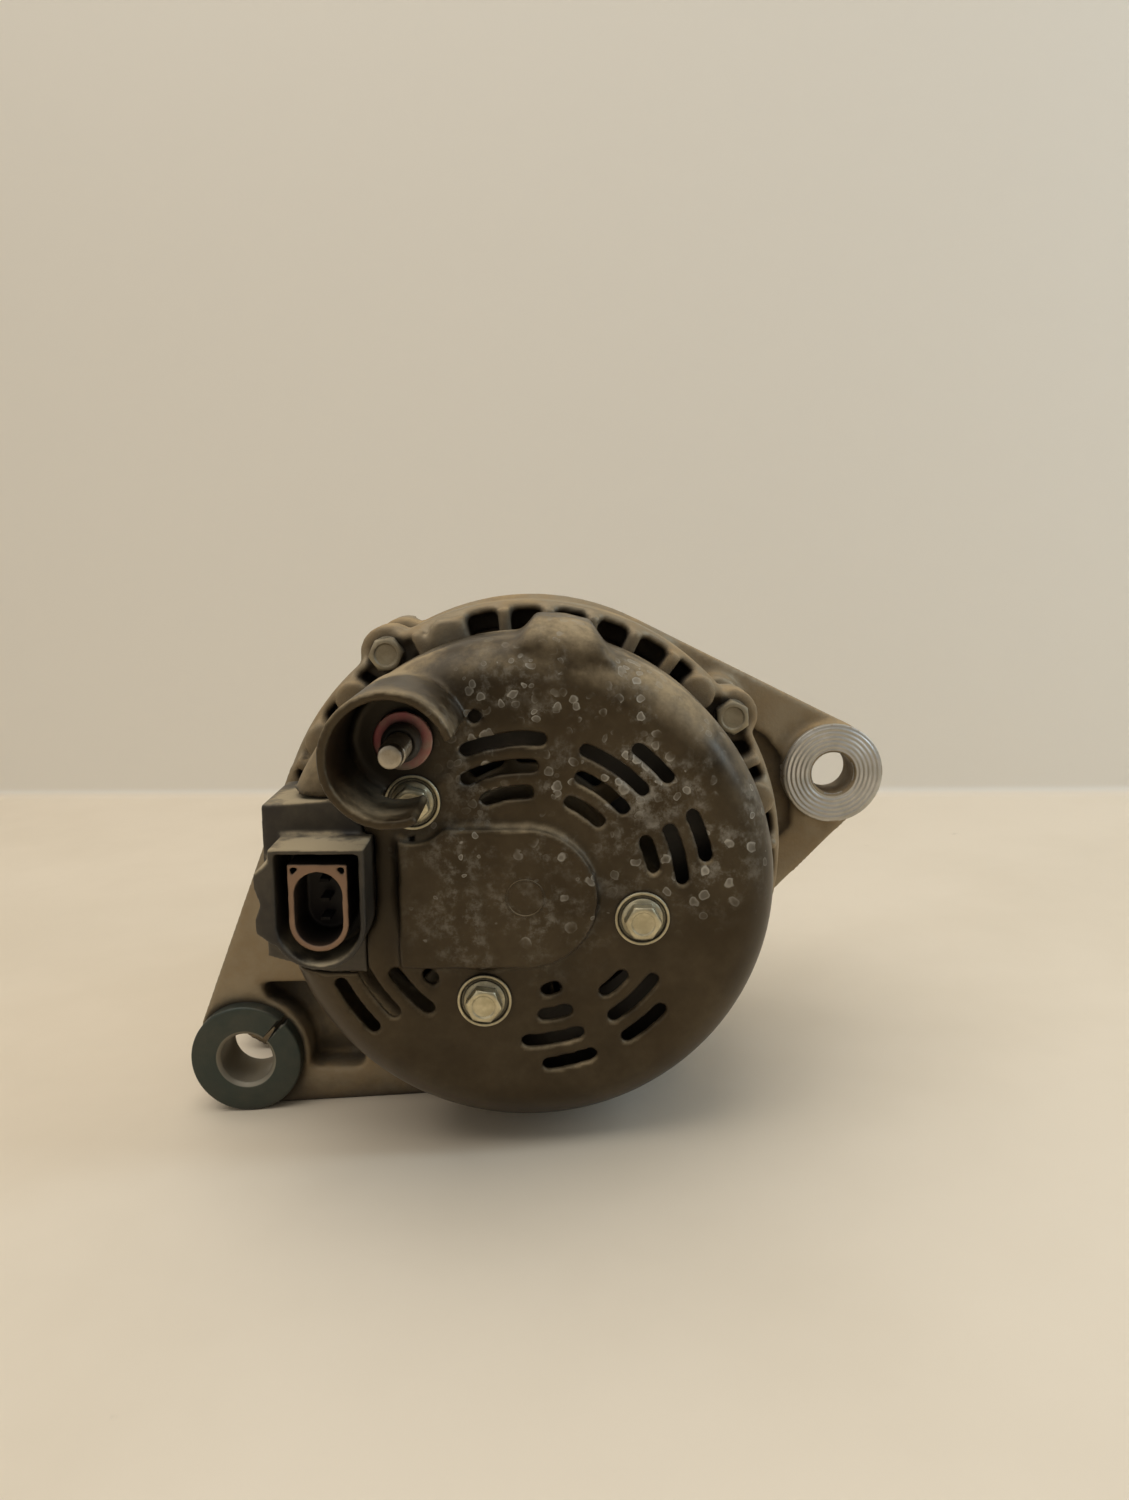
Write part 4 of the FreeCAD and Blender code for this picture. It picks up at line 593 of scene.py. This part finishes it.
finishes = {  # slot: maker, name, colours of the base, stains, worn edges and dust, and own values
    "cover_plastic": (
        plasticMaterial, "mouldedCover", (0.0150, 0.0086, 0.0026), (0.036, 0.0222, 0.0088),
        (0.085, 0.068, 0.046), (0.36, 0.27, 0.155), coverLook),
    "case_plastic": (
        plasticMaterial, "mouldedCase", (0.014, 0.0115, 0.0085), (0.028, 0.021, 0.0135),
        (0.06, 0.05, 0.038), (0.40, 0.32, 0.20), {"rough": 0.45, "dust": 2.2}),
    "terminal_plastic": (
        plasticMaterial, "terminalPlastic", (0.03, 0.026, 0.022), (0.05, 0.043, 0.034),
        (0.11, 0.095, 0.075), warmDust, {"rough": 0.5}),
    "liner_plastic": (
        plasticMaterial, "socketLiner", (0.27, 0.155, 0.088), (0.19, 0.106, 0.060),
        (0.46, 0.31, 0.20), warmDust,
        # painted shade: deep, wide corner darkening for the inside of the socket
        {"rough": 0.5, "worn": 0.8, "grimy": 1.0, "grimeReach": 0.022, "grime": (0.010, 0.006, 0.004)}),
    "cast_aluminium": (
        metalMaterial, "castAluminium", (0.31, 0.245, 0.155), (0.150, 0.105, 0.055),
        (0.74, 0.60, 0.38), (0.47, 0.325, 0.16), castLook),
    "machined": (
        metalMaterial, "machinedFace", (0.55, 0.515, 0.455), (0.40, 0.37, 0.315),
        (0.80, 0.77, 0.70), warmDust, machinedLook),
    "zinc_steel": (
        metalMaterial, "yellowZinc", (0.60, 0.53, 0.35), (0.33, 0.28, 0.165), (0.86, 0.79, 0.58), warmDust,
        # painted shade: full corner darkening in the gaps round the cups and bolt heads
        {"rough": 0.26, "everywhere": 0.3, "stain": 300.0, "grimeReach": 0.0035, "grimy": 1.0,
         "grime": (0.03, 0.024, 0.013)}),
    "stud_steel": (
        metalMaterial, "studSteel", (0.42, 0.37, 0.29), (0.24, 0.19, 0.125), (0.76, 0.70, 0.59), warmDust,
        {"rough": 0.3, "dust": 0.3, "stain": 400.0, "grimeReach": 0.002}),
    "tinted_zinc": (
        metalMaterial, "tintedZinc", (0.34, 0.10, 0.10), (0.30, 0.26, 0.19), (0.46, 0.36, 0.30), warmDust,
        {"rough": 0.3, "dust": 0.2, "stain": 85.0, "stained": 1.0, "grimeReach": 0.003, "metal": 0.8}),
    "tinned_brass": (
        # painted shade: the pins' base, stain and worn colours and a dark film over all of them stand for the
        # shade inside the socket, with strong corner shade on top
        metalMaterial, "tinnedBrass", (0.10, 0.08, 0.055), (0.06, 0.048, 0.033), (0.32, 0.29, 0.24),
        (0.04, 0.03, 0.02),
        {"dust": 0.9, "everywhere": 1.0, "grimy": 1.0, "grimeReach": 0.02, "grime": (0.006, 0.004, 0.003)}),
    "carbon": (
        plasticMaterial, "pressedCarbon", (0.02, 0.02, 0.021), (0.035, 0.033, 0.032), (0.06, 0.06, 0.06),
        (0.06, 0.05, 0.045), {"rough": 0.55}),
    "spring_steel": (
        metalMaterial, "springSteel", (0.4, 0.39, 0.37), (0.25, 0.24, 0.22), (0.6, 0.6, 0.58), warmDust,
        {"rough": 0.3, "dust": 0.1}),
    "diode_metal": (
        metalMaterial, "diodeCan", (0.36, 0.34, 0.30), (0.22, 0.2, 0.17), (0.55, 0.54, 0.5), warmDust,
        {"dust": 0.5}),
    "plate_aluminium": (
        metalMaterial, "sheetAluminium", (0.20, 0.18, 0.15), (0.13, 0.11, 0.085), (0.4, 0.38, 0.34),
        warmDust, {"rough": 0.45, "dust": 0.7}),
    "bolt_steel": (
        metalMaterial, "boltSteel", (0.40, 0.345, 0.235), (0.24, 0.195, 0.12), (0.66, 0.575, 0.41),
        (0.21, 0.155, 0.09),
        {"rough": 0.42, "dust": 0.9, "everywhere": 0.5, "stain": 260.0, "grimeReach": 0.004}),
    "bush_steel": (
        metalMaterial, "bushSteel", (0.036, 0.047, 0.038), (0.054, 0.058, 0.044), (0.26, 0.235, 0.18),
        warmDust, bushFinish),
    "bearing_steel": (
        metalMaterial, "bearingSteel", (0.5, 0.49, 0.48), (0.35, 0.33, 0.3), (0.7, 0.7, 0.7), warmDust,
        {"rough": 0.2, "dust": 0.2}),
    "plate_steel": (
        metalMaterial, "pressedSteel", (0.30, 0.28, 0.25), (0.18, 0.16, 0.13), (0.46, 0.44, 0.4), warmDust,
        {"rough": 0.38, "dust": 0.6}),
    "shaft_steel": (
        metalMaterial, "turnedShaft", (0.42, 0.41, 0.39), (0.26, 0.24, 0.21), (0.6, 0.6, 0.58), warmDust,
        {"rough": 0.25, "dust": 0.2}),
    "pole_iron": (
        metalMaterial, "poleIron", (0.11, 0.10, 0.095), (0.17, 0.10, 0.06), (0.3, 0.28, 0.26), warmDust,
        {"rough": 0.5, "grain": 900.0, "bump": 0.4}),
    "pulley_steel": (
        metalMaterial, "coatedPulley", (0.04, 0.04, 0.041), (0.07, 0.06, 0.05), (0.32, 0.30, 0.27),
        warmDust, {"rough": 0.4, "dust": 0.5, "metal": 0.5, "edge": 0.0005}),
}
materials = {slot: maker(*values) for slot, (maker, *values) in finishes.items()}


def laminationMaterial():
    # varnished sheet iron: dark, with a fine line at every sheet along Y
    sheetPitch = 0.0010
    material, tree, shader = newMaterial("laminatedIron")
    station = put(tree, "ShaderNodeSeparateXYZ", None, Vector=objectPlace(tree)).outputs[1]
    sheets = maths(tree, "SINE", maths(tree, "MULTIPLY", station, 2 * math.pi / sheetPitch))
    tint = use(tree, "unevenTint", Colour=rgb(0.08, 0.066, 0.052), Other=rgb(0.13, 0.078, 0.045),
               Scale=60.0, Amount=0.7)
    lined = mixColour(tree, ramp(tree, sheets, 0.2, 0.95), tint.outputs[0], rgb(0.04, 0.032, 0.025))
    film = use(tree, "settledDust", Colour=lined, Dust=rgb(*warmDust), Amount=0.8, Everywhere=0.4,
               Patch_scale=80.0)
    shader.inputs["Metallic"].default_value = 0.4
    finishMaterial(tree, shader, film.outputs[0], 0.55, sheets, 0.5, 0.00008)
    return material


def windingMaterial():
    # enamelled copper, dusted, and darkened with painted shade between the wires
    material, tree, shader = newMaterial("enamelledCopper")
    tint = use(tree, "unevenTint", Colour=rgb(0.30, 0.10, 0.04), Other=rgb(0.13, 0.05, 0.025),
               Scale=120.0, Amount=0.8)
    film = use(tree, "settledDust", Colour=tint.outputs[0], Dust=rgb(*warmDust), Amount=0.6,
               Everywhere=0.3, Patch_scale=90.0)
    grime = use(tree, "cornerGrime", Colour=film.outputs[0], Grime=rgb(0.02, 0.012, 0.008),
                Reach=0.003, Amount=0.8)
    height = use(tree, "skinGrain", Scale=1300.0, Swell=0.6).outputs[0]
    shader.inputs["Metallic"].default_value = 0.5
    finishMaterial(tree, shader, grime.outputs[0], 0.38, height, 0.2, 0.0001)
    return material


materials["lamination_steel"] = laminationMaterial()
materials["copper_winding"] = windingMaterial()

slotOf = {entry["node"]: entry["material_slot"] for entry in frame["record"]["subparts"]}
for nodeName, cadObject in frame["nodes"].items():
    cadObject.data.materials.clear()
    cadObject.data.materials.append(materials[slotOf[nodeName]])
print("stage: materials made")


def soften(piece, centre, reach, passes):
    # more easing near a point: the share falls as 1 - (distance / reach)^2
    points = np.empty(len(piece.data.vertices) * 3)
    piece.data.vertices.foreach_get("co", points)
    away = np.linalg.norm(points.reshape(-1, 3) - np.array(centre), axis=1) / reach
    shares = np.clip(1.6 * (1 - away ** 2), 0, 1)
    group = piece.vertex_groups.new(name="soft")
    for level in np.linspace(0.1, 1.0, 10):
        chosen = np.nonzero((shares > level - 0.1) & (shares <= level))[0]
        group.add(chosen.tolist(), float(level), "REPLACE")
    ease = piece.modifiers.new("soften", "SMOOTH")
    ease.factor = 0.5
    ease.iterations = passes
    ease.vertex_group = "soft"
    depsgraph = bpy.context.evaluated_depsgraph_get()
    finished = bpy.data.meshes.new_from_object(piece.evaluated_get(depsgraph))
    piece.modifiers.clear()
    piece.vertex_groups.clear()
    piece.data = finished


def moulded(node, name, look):
    # the node's shape with its edges rounded: remade as an even skin and eased
    source = frame["nodes"][node]
    mesh = source.data.copy()
    mesh.name = name
    merged = bmesh.new()
    merged.from_mesh(mesh)
    bmesh.ops.remove_doubles(merged, verts=merged.verts, dist=2e-6)
    merged.to_mesh(mesh)
    merged.free()
    piece = placed(name, mesh)
    skin = piece.modifiers.new("skin", "REMESH")
    skin.mode = "VOXEL"
    skin.voxel_size = look["voxel"]
    skin.use_smooth_shade = True
    ease = piece.modifiers.new("ease", "SMOOTH")
    ease.factor = 0.5
    ease.iterations = look["ease"]
    depsgraph = bpy.context.evaluated_depsgraph_get()
    finished = bpy.data.meshes.new_from_object(piece.evaluated_get(depsgraph))
    finished.name = name
    piece.modifiers.clear()
    piece.data = finished
    if "softRound" in look:
        soften(piece, *look["softRound"])
    finished.materials.clear()
    finished.materials.append(materials[slotOf[node]])
    finished.polygons.foreach_set("use_smooth", [True] * len(finished.polygons))
    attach(piece, "housing")
    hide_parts(node)
    print("moulded", name, len(finished.polygons))
    return piece


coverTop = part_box("rear_cover")[1].z
moulded("rear_cover", "coverShell", {"voxel": 0.75 * mm, "ease": 3, "softRound": (
    (0.008, mounts["belt_track"][1] - 0.109, coverTop - 4 * mm), 0.024, 44)})
moulded("rear_housing", "rearCasting", {"voxel": 0.95 * mm, "ease": 3})
moulded("front_housing", "frontCasting", {"voxel": 1.1 * mm, "ease": 2})
moulded("regulator_case", "regulatorBody", {"voxel": 0.5 * mm, "ease": 3})
moulded("connector_liner", "socketLiner", {"voxel": 0.3 * mm, "ease": 3})
print("stage: castings and mouldings made")


coverBoltLook = {
    "flats": 7.6 * mm, "head": 4.2 * mm, "flange": 5.0 * mm, "flangeThick": 0.9 * mm, "dish": 0.25 * mm,
    "shank": 2.38 * mm, "pitch": 0.8 * mm, "threadLength": 9.0 * mm}
cupLook = {"rim": 6.5 * mm, "rimHeight": 1.0 * mm, "well": 5.55 * mm, "floor": 0.3 * mm, "sleeve": 3.45 * mm,
           "bore": 2.55 * mm}
throughBoltLook = {
    "flats": 8.0 * mm, "head": 4.1 * mm, "flange": 4.0 * mm, "flangeThick": 0.15 * mm, "dish": 0.35 * mm,
    "shank": 2.38 * mm, "pitch": 0.8 * mm, "threadLength": 12.0 * mm, "seat": 4.2 * mm}


def coverFasteners():
    # each eyelet is a pressed cup round its bolt's flange, with a sleeve through the cover
    bolts, cups = [], []
    eyelets = solidPlaces("cover_eyelets")
    for number, (low, high) in enumerate(solidPlaces("cover_bolts")):
        x, z = (low[0] + high[0]) / 2, (low[2] + high[2]) / 2
        own = min(eyelets, key=lambda pair: abs((pair[0][0] + pair[1][0]) / 2 - x) + abs(
            (pair[0][2] + pair[1][2]) / 2 - z))
        face = own[0][1] + cupLook["rimHeight"]
        seat = face - cupLook["floor"] - 0.05 * mm
        look = dict(coverBoltLook, end=high[1], threadStart=high[1] - coverBoltLook["threadLength"])
        bolts.append(hexBolt(x, z, seat, look, 0.35 + 0.9 * number))
        rim = cupLook["rim"]
        bore, sleeve, well = cupLook["bore"], cupLook["sleeve"], cupLook["well"]
        floor = face - cupLook["floor"]
        profile = [(bore, own[1][1]), (sleeve, own[1][1]), (sleeve, face), (rim - 0.5 * mm, face),
                   (rim, face - 0.35 * mm), (rim - 0.05 * mm, own[0][1]),
                   (well + 0.25 * mm, own[0][1] + 0.02 * mm), (well, floor), (bore, floor)]
        cups.append(turnedSurface(roundCorners(profile, 0.22 * mm, 4), x, z))
    addPiece("coverBolts", bolts, "zinc_steel", replaces=("cover_bolts",))
    addPiece("coverCups", cups, "zinc_steel", replaces=("cover_eyelets",))


def throughBolts():
    # the long bolts that clamp both frames on the stator
    bolts = []
    for number, (low, high) in enumerate(solidPlaces("through_bolts")):
        x, z = (low[0] + high[0]) / 2, (low[2] + high[2]) / 2
        look = dict(throughBoltLook, end=high[1], threadStart=high[1] - throughBoltLook["threadLength"])
        bolts.append(hexBolt(x, z, low[1] + throughBoltLook["seat"], look, 0.2 + 0.8 * number))
    addPiece("longBolts", bolts, "bolt_steel", replaces=("through_bolts",))


studLook = {
    "pitch": 1.0 * mm, "crest": 2.99 * mm, "depth": 0.42 * mm, "tipRadius": 2.6 * mm, "tipLength": 2.6 * mm,
    "shank": 2.65 * mm, "nutBore": 2.72 * mm, "washerBore": 2.75 * mm}


def batteryTerminal():
    # threaded rod with a plain tip, a collar nut and a tinted washer
    x, z = mounts["battery_stud"][0], mounts["battery_stud"][2]
    low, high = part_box("b_plus_stud")
    nutLow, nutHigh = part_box("b_plus_nut")
    tip, shank, bore = studLook["tipRadius"], studLook["shank"], studLook["nutBore"]
    start = low.y + studLook["tipLength"]
    look = dict(studLook, threadStart=start, threadEnd=nutLow.y, tip=[
        (0, low.y), (tip * 0.5, low.y), (tip - 0.45 * mm, low.y), (tip - 0.12 * mm, low.y + 0.15 * mm),
        (tip, low.y + 0.5 * mm), (tip, start - 0.3 * mm)],
        root=[(shank - 0.1 * mm, nutLow.y), (shank, nutLow.y + 0.4 * mm), (shank, high.y - 0.4 * mm),
              (shank - 0.35 * mm, high.y), (0, high.y)])
    addPiece("terminalStud", [threadedRod(x, z, look)], "stud_steel",
             replaces=("b_plus_stud",))
    reach = (nutHigh.x - nutLow.x) / 2
    collar = [(bore, nutHigh.y), (reach, nutHigh.y), (reach, nutLow.y + 1.1 * mm),
              (reach - 0.7 * mm, nutLow.y + 0.1 * mm), (3.3 * mm, nutLow.y), (bore, nutLow.y + 0.5 * mm)]
    addPiece("terminalNut", [turnedSurface(roundCorners(collar, 0.3 * mm), x, z)], slotOf["b_plus_nut"],
             replaces=("b_plus_nut",))
    low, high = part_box("b_plus_washer")
    reach = (high.x - low.x) / 2
    bore = studLook["washerBore"]
    disc = [(bore, high.y), (reach, high.y), (reach, low.y), (bore, low.y)]
    addPiece("terminalWasher", [turnedSurface(roundCorners(disc, 0.35 * mm), x, z)], "tinted_zinc",
             replaces=("b_plus_washer",))


coverFasteners()
throughBolts()
batteryTerminal()
print("stage: fasteners made")


bushLook = {
    "bore": 7.0 * mm, "chamfer": 1.0 * mm, "sleeve": 9.58 * mm, "flange": 4.6 * mm, "corner": 0.7 * mm,
    "slit": 1.5 * mm, "slitAngle": 42.0, "jag": 0.55 * mm, "steps": 121}


def splitBush():
    # a turned ring that stops short on both sides of a slit; the slit's sides wander with radius:
    # offset = jag (sin(9 t) + 0.6 sin(23 t)) where t is the distance out from the bore
    place = mounts["rear_pivot_bush"]
    low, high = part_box("left_ear_bush")
    rim = (high.z - low.z) / 2
    face, back = low.y, high.y
    profile = roundCorners([
        (bushLook["bore"], back), (bushLook["bore"], face + bushLook["chamfer"]),
        (bushLook["bore"] + bushLook["chamfer"], face), (rim, face), (rim, face + bushLook["flange"]),
        (bushLook["sleeve"], face + bushLook["flange"]), (bushLook["sleeve"], back)], bushLook["corner"], 4)
    radius, station = profile[:, 0][:, None], profile[:, 1][:, None]
    out = (radius - bushLook["bore"]) / (rim - bushLook["bore"])
    wander = bushLook["jag"] * (np.sin(9 * out) + 0.6 * np.sin(23 * out)) * np.minimum(1, 3 * out)
    middle = math.radians(bushLook["slitAngle"])
    share = np.linspace(0, 1, bushLook["steps"])[None, :]
    start = middle + (bushLook["slit"] / 2 + wander) / radius
    end = middle + 2 * math.pi - (bushLook["slit"] / 2 - wander * 0.8) / radius
    a = start + (end - start) * share
    points = np.stack([place[0] + radius * np.cos(a), station + 0 * a, place[2] + radius * np.sin(a)], -1)
    rows, columns = a.shape
    faces = gridFaces(rows, columns, True, False)
    faces += [[row * columns for row in range(rows)], [row * columns + columns - 1 for row in range(rows)]]
    addPiece("earBush", [(points.reshape(-1, 3), faces)], "bush_steel",
             replaces=("left_ear_bush",), smoothAngle=50)


ringLook = {
    "bore": 6.12 * mm, "rim": 14.38 * mm, "length": 14.0 * mm, "chamfer": 0.8 * mm, "edge": 0.5 * mm,
    "proud": 0.04 * mm}


def machinedBoss():
    # the turned ring of the adjusting ear: its face stands a hair proud of the cast skin
    place = mounts["adjuster_ear"]
    face = mounts["adjuster_face"][1] - ringLook["proud"]
    back = face + ringLook["length"] + 2 * ringLook["proud"]
    bore, rim, chamfer, edge = ringLook["bore"], ringLook["rim"], ringLook["chamfer"], ringLook["edge"]
    profile = roundCorners([(bore, back - chamfer), (bore, face + chamfer), (bore + chamfer, face),
                            (rim - edge, face), (rim, face + edge), (rim, back - edge), (rim - edge, back),
                            (bore + chamfer, back)], 0.2 * mm, 3)
    addPiece("adjusterBoss", [turnedSurface(profile, place[0], place[2], 128)], "machined")


gateLook = {"radius": 4.6 * mm, "proud": 0.22 * mm, "lip": 0.5 * mm, "root": 0.3 * mm, "panelRise": 2.0 * mm}


def gateMark():
    # the round mark that the mould's gate leaves in the middle of the raised panel: a low rim
    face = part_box("cover_eyelets")[0].y - gateLook["panelRise"]
    root = face + gateLook["root"]
    reach, lip, proud = gateLook["radius"], gateLook["lip"], gateLook["proud"]
    profile = roundCorners([(reach - lip, root), (reach, root), (reach, face - proud * 0.6),
                            (reach - lip * 0.5, face - proud), (reach - lip, face - proud * 0.3)],
                           0.15 * mm, 3)
    addPiece("gateMark", [turnedSurface(profile, 0.0, 0.0, 72)], "cover_plastic")


splitBush()
machinedBoss()
gateMark()
print("stage: ears and panel mark finished")


springLook = {"wire": 0.33 * mm, "turns": 9, "radius": 1.5 * mm, "length": 10.5 * mm, "keep": 0.524}


def brushSprings():
    # a wire wound along the brush's own way: angle = 2 pi turns s, with closed turns at both ends
    for side in ("rear", "front"):
        node = f"brush_spring_{side}"
        low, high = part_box(node)
        centre = np.array((low + high) / 2)
        brush = np.array(sum(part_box(f"brush_{side}"), Vector()) / 2)
        along = brush - centre
        along[1] = 0
        along /= np.linalg.norm(along)
        across = np.cross(along, (0.0, 1.0, 0.0))
        length = springLook["length"] - 2 * springLook["wire"]
        s = np.linspace(0, 1, 330)
        eased = s - 0.035 * np.sin(2 * math.pi * s)
        turn = 2 * math.pi * springLook["turns"] * s
        circle = np.cos(turn)[:, None] * across + np.sin(turn)[:, None] * np.array((0.0, 1.0, 0.0))
        path = centre + (eased[:, None] - 0.5) * length * along + springLook["radius"] * circle
        piece = addPiece(f"{side}BrushSpring", [sweptTube(path, springLook["wire"], 8)], "spring_steel",
                         replaces=(node,))
        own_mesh(piece)


windingLook = {
    "strands": 14, "waves": 18, "wire": 1.05 * mm, "steps": 504, "depth": 11.1 * mm, "cover": 1.4 * mm,
    "slots": 36, "barWire": 1.35 * mm, "barPast": 3.5 * mm, "barRows": 3}


def statorWinding():
    # end turns: wires round the axis whose reach and station swing with the slots; the wires lie on an
    # oval about the middle of each bundle, and straight bars fill the slots between the bundles
    low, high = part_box("stator_winding")
    coreLow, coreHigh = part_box("stator_core")
    inner, outer = high.x - windingLook["depth"], high.x - windingLook["cover"]
    parts = []
    a = np.linspace(0, 2 * math.pi, windingLook["steps"], endpoint=False)
    for start, end in ((low.y, coreLow.y), (coreHigh.y, high.y)):
        middle = ((inner + outer) / 2, (start + end) / 2)
        half = ((outer - inner) / 2 - windingLook["cover"], abs(end - start) / 2 - 1.5 * mm)
        for strand in range(windingLook["strands"]):
            phase = 2 * math.pi * strand / windingLook["strands"]
            wave = windingLook["waves"] * a + phase * 3
            reach = middle[0] + half[0] * math.cos(phase) * (0.86 + 0.14 * np.sin(wave))
            station = middle[1] + half[1] * math.sin(phase) * (0.86 + 0.14 * np.cos(wave))
            path = np.stack([reach * np.cos(a), station, reach * np.sin(a)], -1)
            parts.append(sweptTube(path, windingLook["wire"], 6, True))
    past = windingLook["barPast"]
    s = np.linspace(coreLow.y - past, coreHigh.y + past, 9)
    for angle in np.linspace(0, 2 * math.pi, windingLook["slots"], endpoint=False):
        for reach in np.linspace(inner + 2.0 * mm, outer - 1.8 * mm, windingLook["barRows"]):
            path = np.stack([reach * math.cos(angle) + 0 * s, s, reach * math.sin(angle) + 0 * s], -1)
            parts.append(sweptTube(path, windingLook["barWire"], 6))
    addPiece("statorWinding", parts, "copper_winding", replaces=("stator_winding",))


brushSprings()
statorWinding()
print("stage: springs and windings made")


setting = {
    "reach": 3.0, "wallPlace": (0.0067, 0.2802), "wallTurn": -14.98, "bend": 0.006, "wallHeight": 2.4,
    "floorColour": (0.83, 0.72, 0.565), "floorOther": (0.72, 0.615, 0.465), "wallColour": (0.85, 0.795, 0.69),
    "key": (19.4, (1.0, 0.98, 0.94)), "fill": (1.8, (1.0, 0.95, 0.87)), "rim": (2.1, (0.62, 0.80, 1.0)),
    "world": ((1.0, 0.975, 0.93), 0.24),
    "lean": 3.5236, "pitch": 10.470, "yaw": 0.2957, "place": (12.76, -368.28, 80.70), "lens": 27.072,
}


def backdrop():
    # floor, a small bend and a wall: a profile of reach and height drawn out along the wall
    bend = setting["bend"]
    turn = np.linspace(0, math.pi / 2, 12)
    profile = [(-setting["reach"], 0.0)] + [(reach, 0.0) for reach in (-1.0, -0.3, -0.1, -bend)]
    profile += [(bend * (math.sin(a) - 1), bend * (1 - math.cos(a))) for a in turn[1:]]
    profile += [(0.0, 0.3), (0.0, setting["wallHeight"])]
    profile = np.array(profile)
    across = np.linspace(-setting["reach"], setting["reach"], 13)
    out, height = profile[:, 0][:, None], profile[:, 1][:, None] + floorZ
    c, s = math.cos(math.radians(setting["wallTurn"])), math.sin(math.radians(setting["wallTurn"]))
    x = setting["wallPlace"][0] + c * across - s * out
    y = setting["wallPlace"][1] + s * across + c * out
    points = np.stack(np.broadcast_arrays(x, y, height), -1)
    mesh = bpy.data.meshes.new("backdrop")
    mesh.from_pydata(points.reshape(-1, 3).tolist(), [], gridFaces(len(profile), len(across)))
    mesh.polygons.foreach_set("use_smooth", [True] * len(mesh.polygons))
    piece = placed("backdrop", mesh)
    material, tree, shader = newMaterial("paleBoard")
    place = objectPlace(tree)
    height = put(tree, "ShaderNodeSeparateXYZ", None, Vector=place).outputs[2]
    tint = use(tree, "unevenTint", Colour=rgb(*setting["floorColour"]), Other=rgb(*setting["floorOther"]),
               Scale=5.0, Amount=0.6)
    fine = ramp(tree, noise(tree, place, 45.0, 5.0, 0.65), 0.70, 0.80)
    marked = mixColour(tree, maths(tree, "MULTIPLY", fine, 0.35), tint.outputs[0], rgb(0.45, 0.38, 0.28))
    above = ramp(tree, height, floorZ + 0.001, floorZ + 0.004)
    colour = mixColour(tree, above, marked, rgb(*setting["wallColour"]))
    grain = use(tree, "skinGrain", Scale=300.0, Swell=0.4)
    finishMaterial(tree, shader, colour, 0.5, grain.outputs[0], 0.05, 0.0002)
    mesh.materials.append(material)


def areaLight(name, place, target, size, power, colour):
    light = bpy.data.lights.new(name, "AREA")
    light.shape = "RECTANGLE"
    light.size, light.size_y = size
    light.energy = power
    light.color = colour
    lamp = placed(name, light)
    lamp.location = place
    lamp.rotation_euler = (Vector(target) - Vector(place)).to_track_quat("-Z", "Y").to_euler()


def studio():
    backdrop()
    bpy.context.scene.view_settings.view_transform = "Standard"
    world = bpy.data.worlds.new("studio")
    world.use_nodes = True
    colour, strength = setting["world"]
    world.node_tree.nodes["Background"].inputs[0].default_value = rgb(*colour)
    world.node_tree.nodes["Background"].inputs[1].default_value = strength
    bpy.context.scene.world = world
    areaLight("key", (-0.30, 0.0, 1.35), (0.0, -0.02, 0.0), (2.0, 1.6), *setting["key"])
    areaLight("fill", (-0.9, -1.3, 0.5), (0.0, -0.1, 0.0), (1.0, 1.0), *setting["fill"])
    areaLight("rim", (0.75, -0.22, 0.42), (0.05, -0.12, 0.0), (0.16, 0.5), *setting["rim"])
    lens = bpy.data.cameras.new("camera")
    lens.lens = setting["lens"]
    lens.sensor_width = 36.0
    lens.clip_start = 0.01
    camera = placed("camera", lens)
    turn = (Matrix.Rotation(math.radians(setting["lean"]), 4, "Y")
            @ Matrix.Rotation(math.radians(-setting["yaw"]), 4, "Z")
            @ Matrix.Rotation(math.radians(90 - setting["pitch"]), 4, "X"))
    camera.matrix_world = Matrix.Translation(Vector(setting["place"]) * mm) @ turn
    bpy.context.scene.camera = camera


studio()
print("stage: studio made")
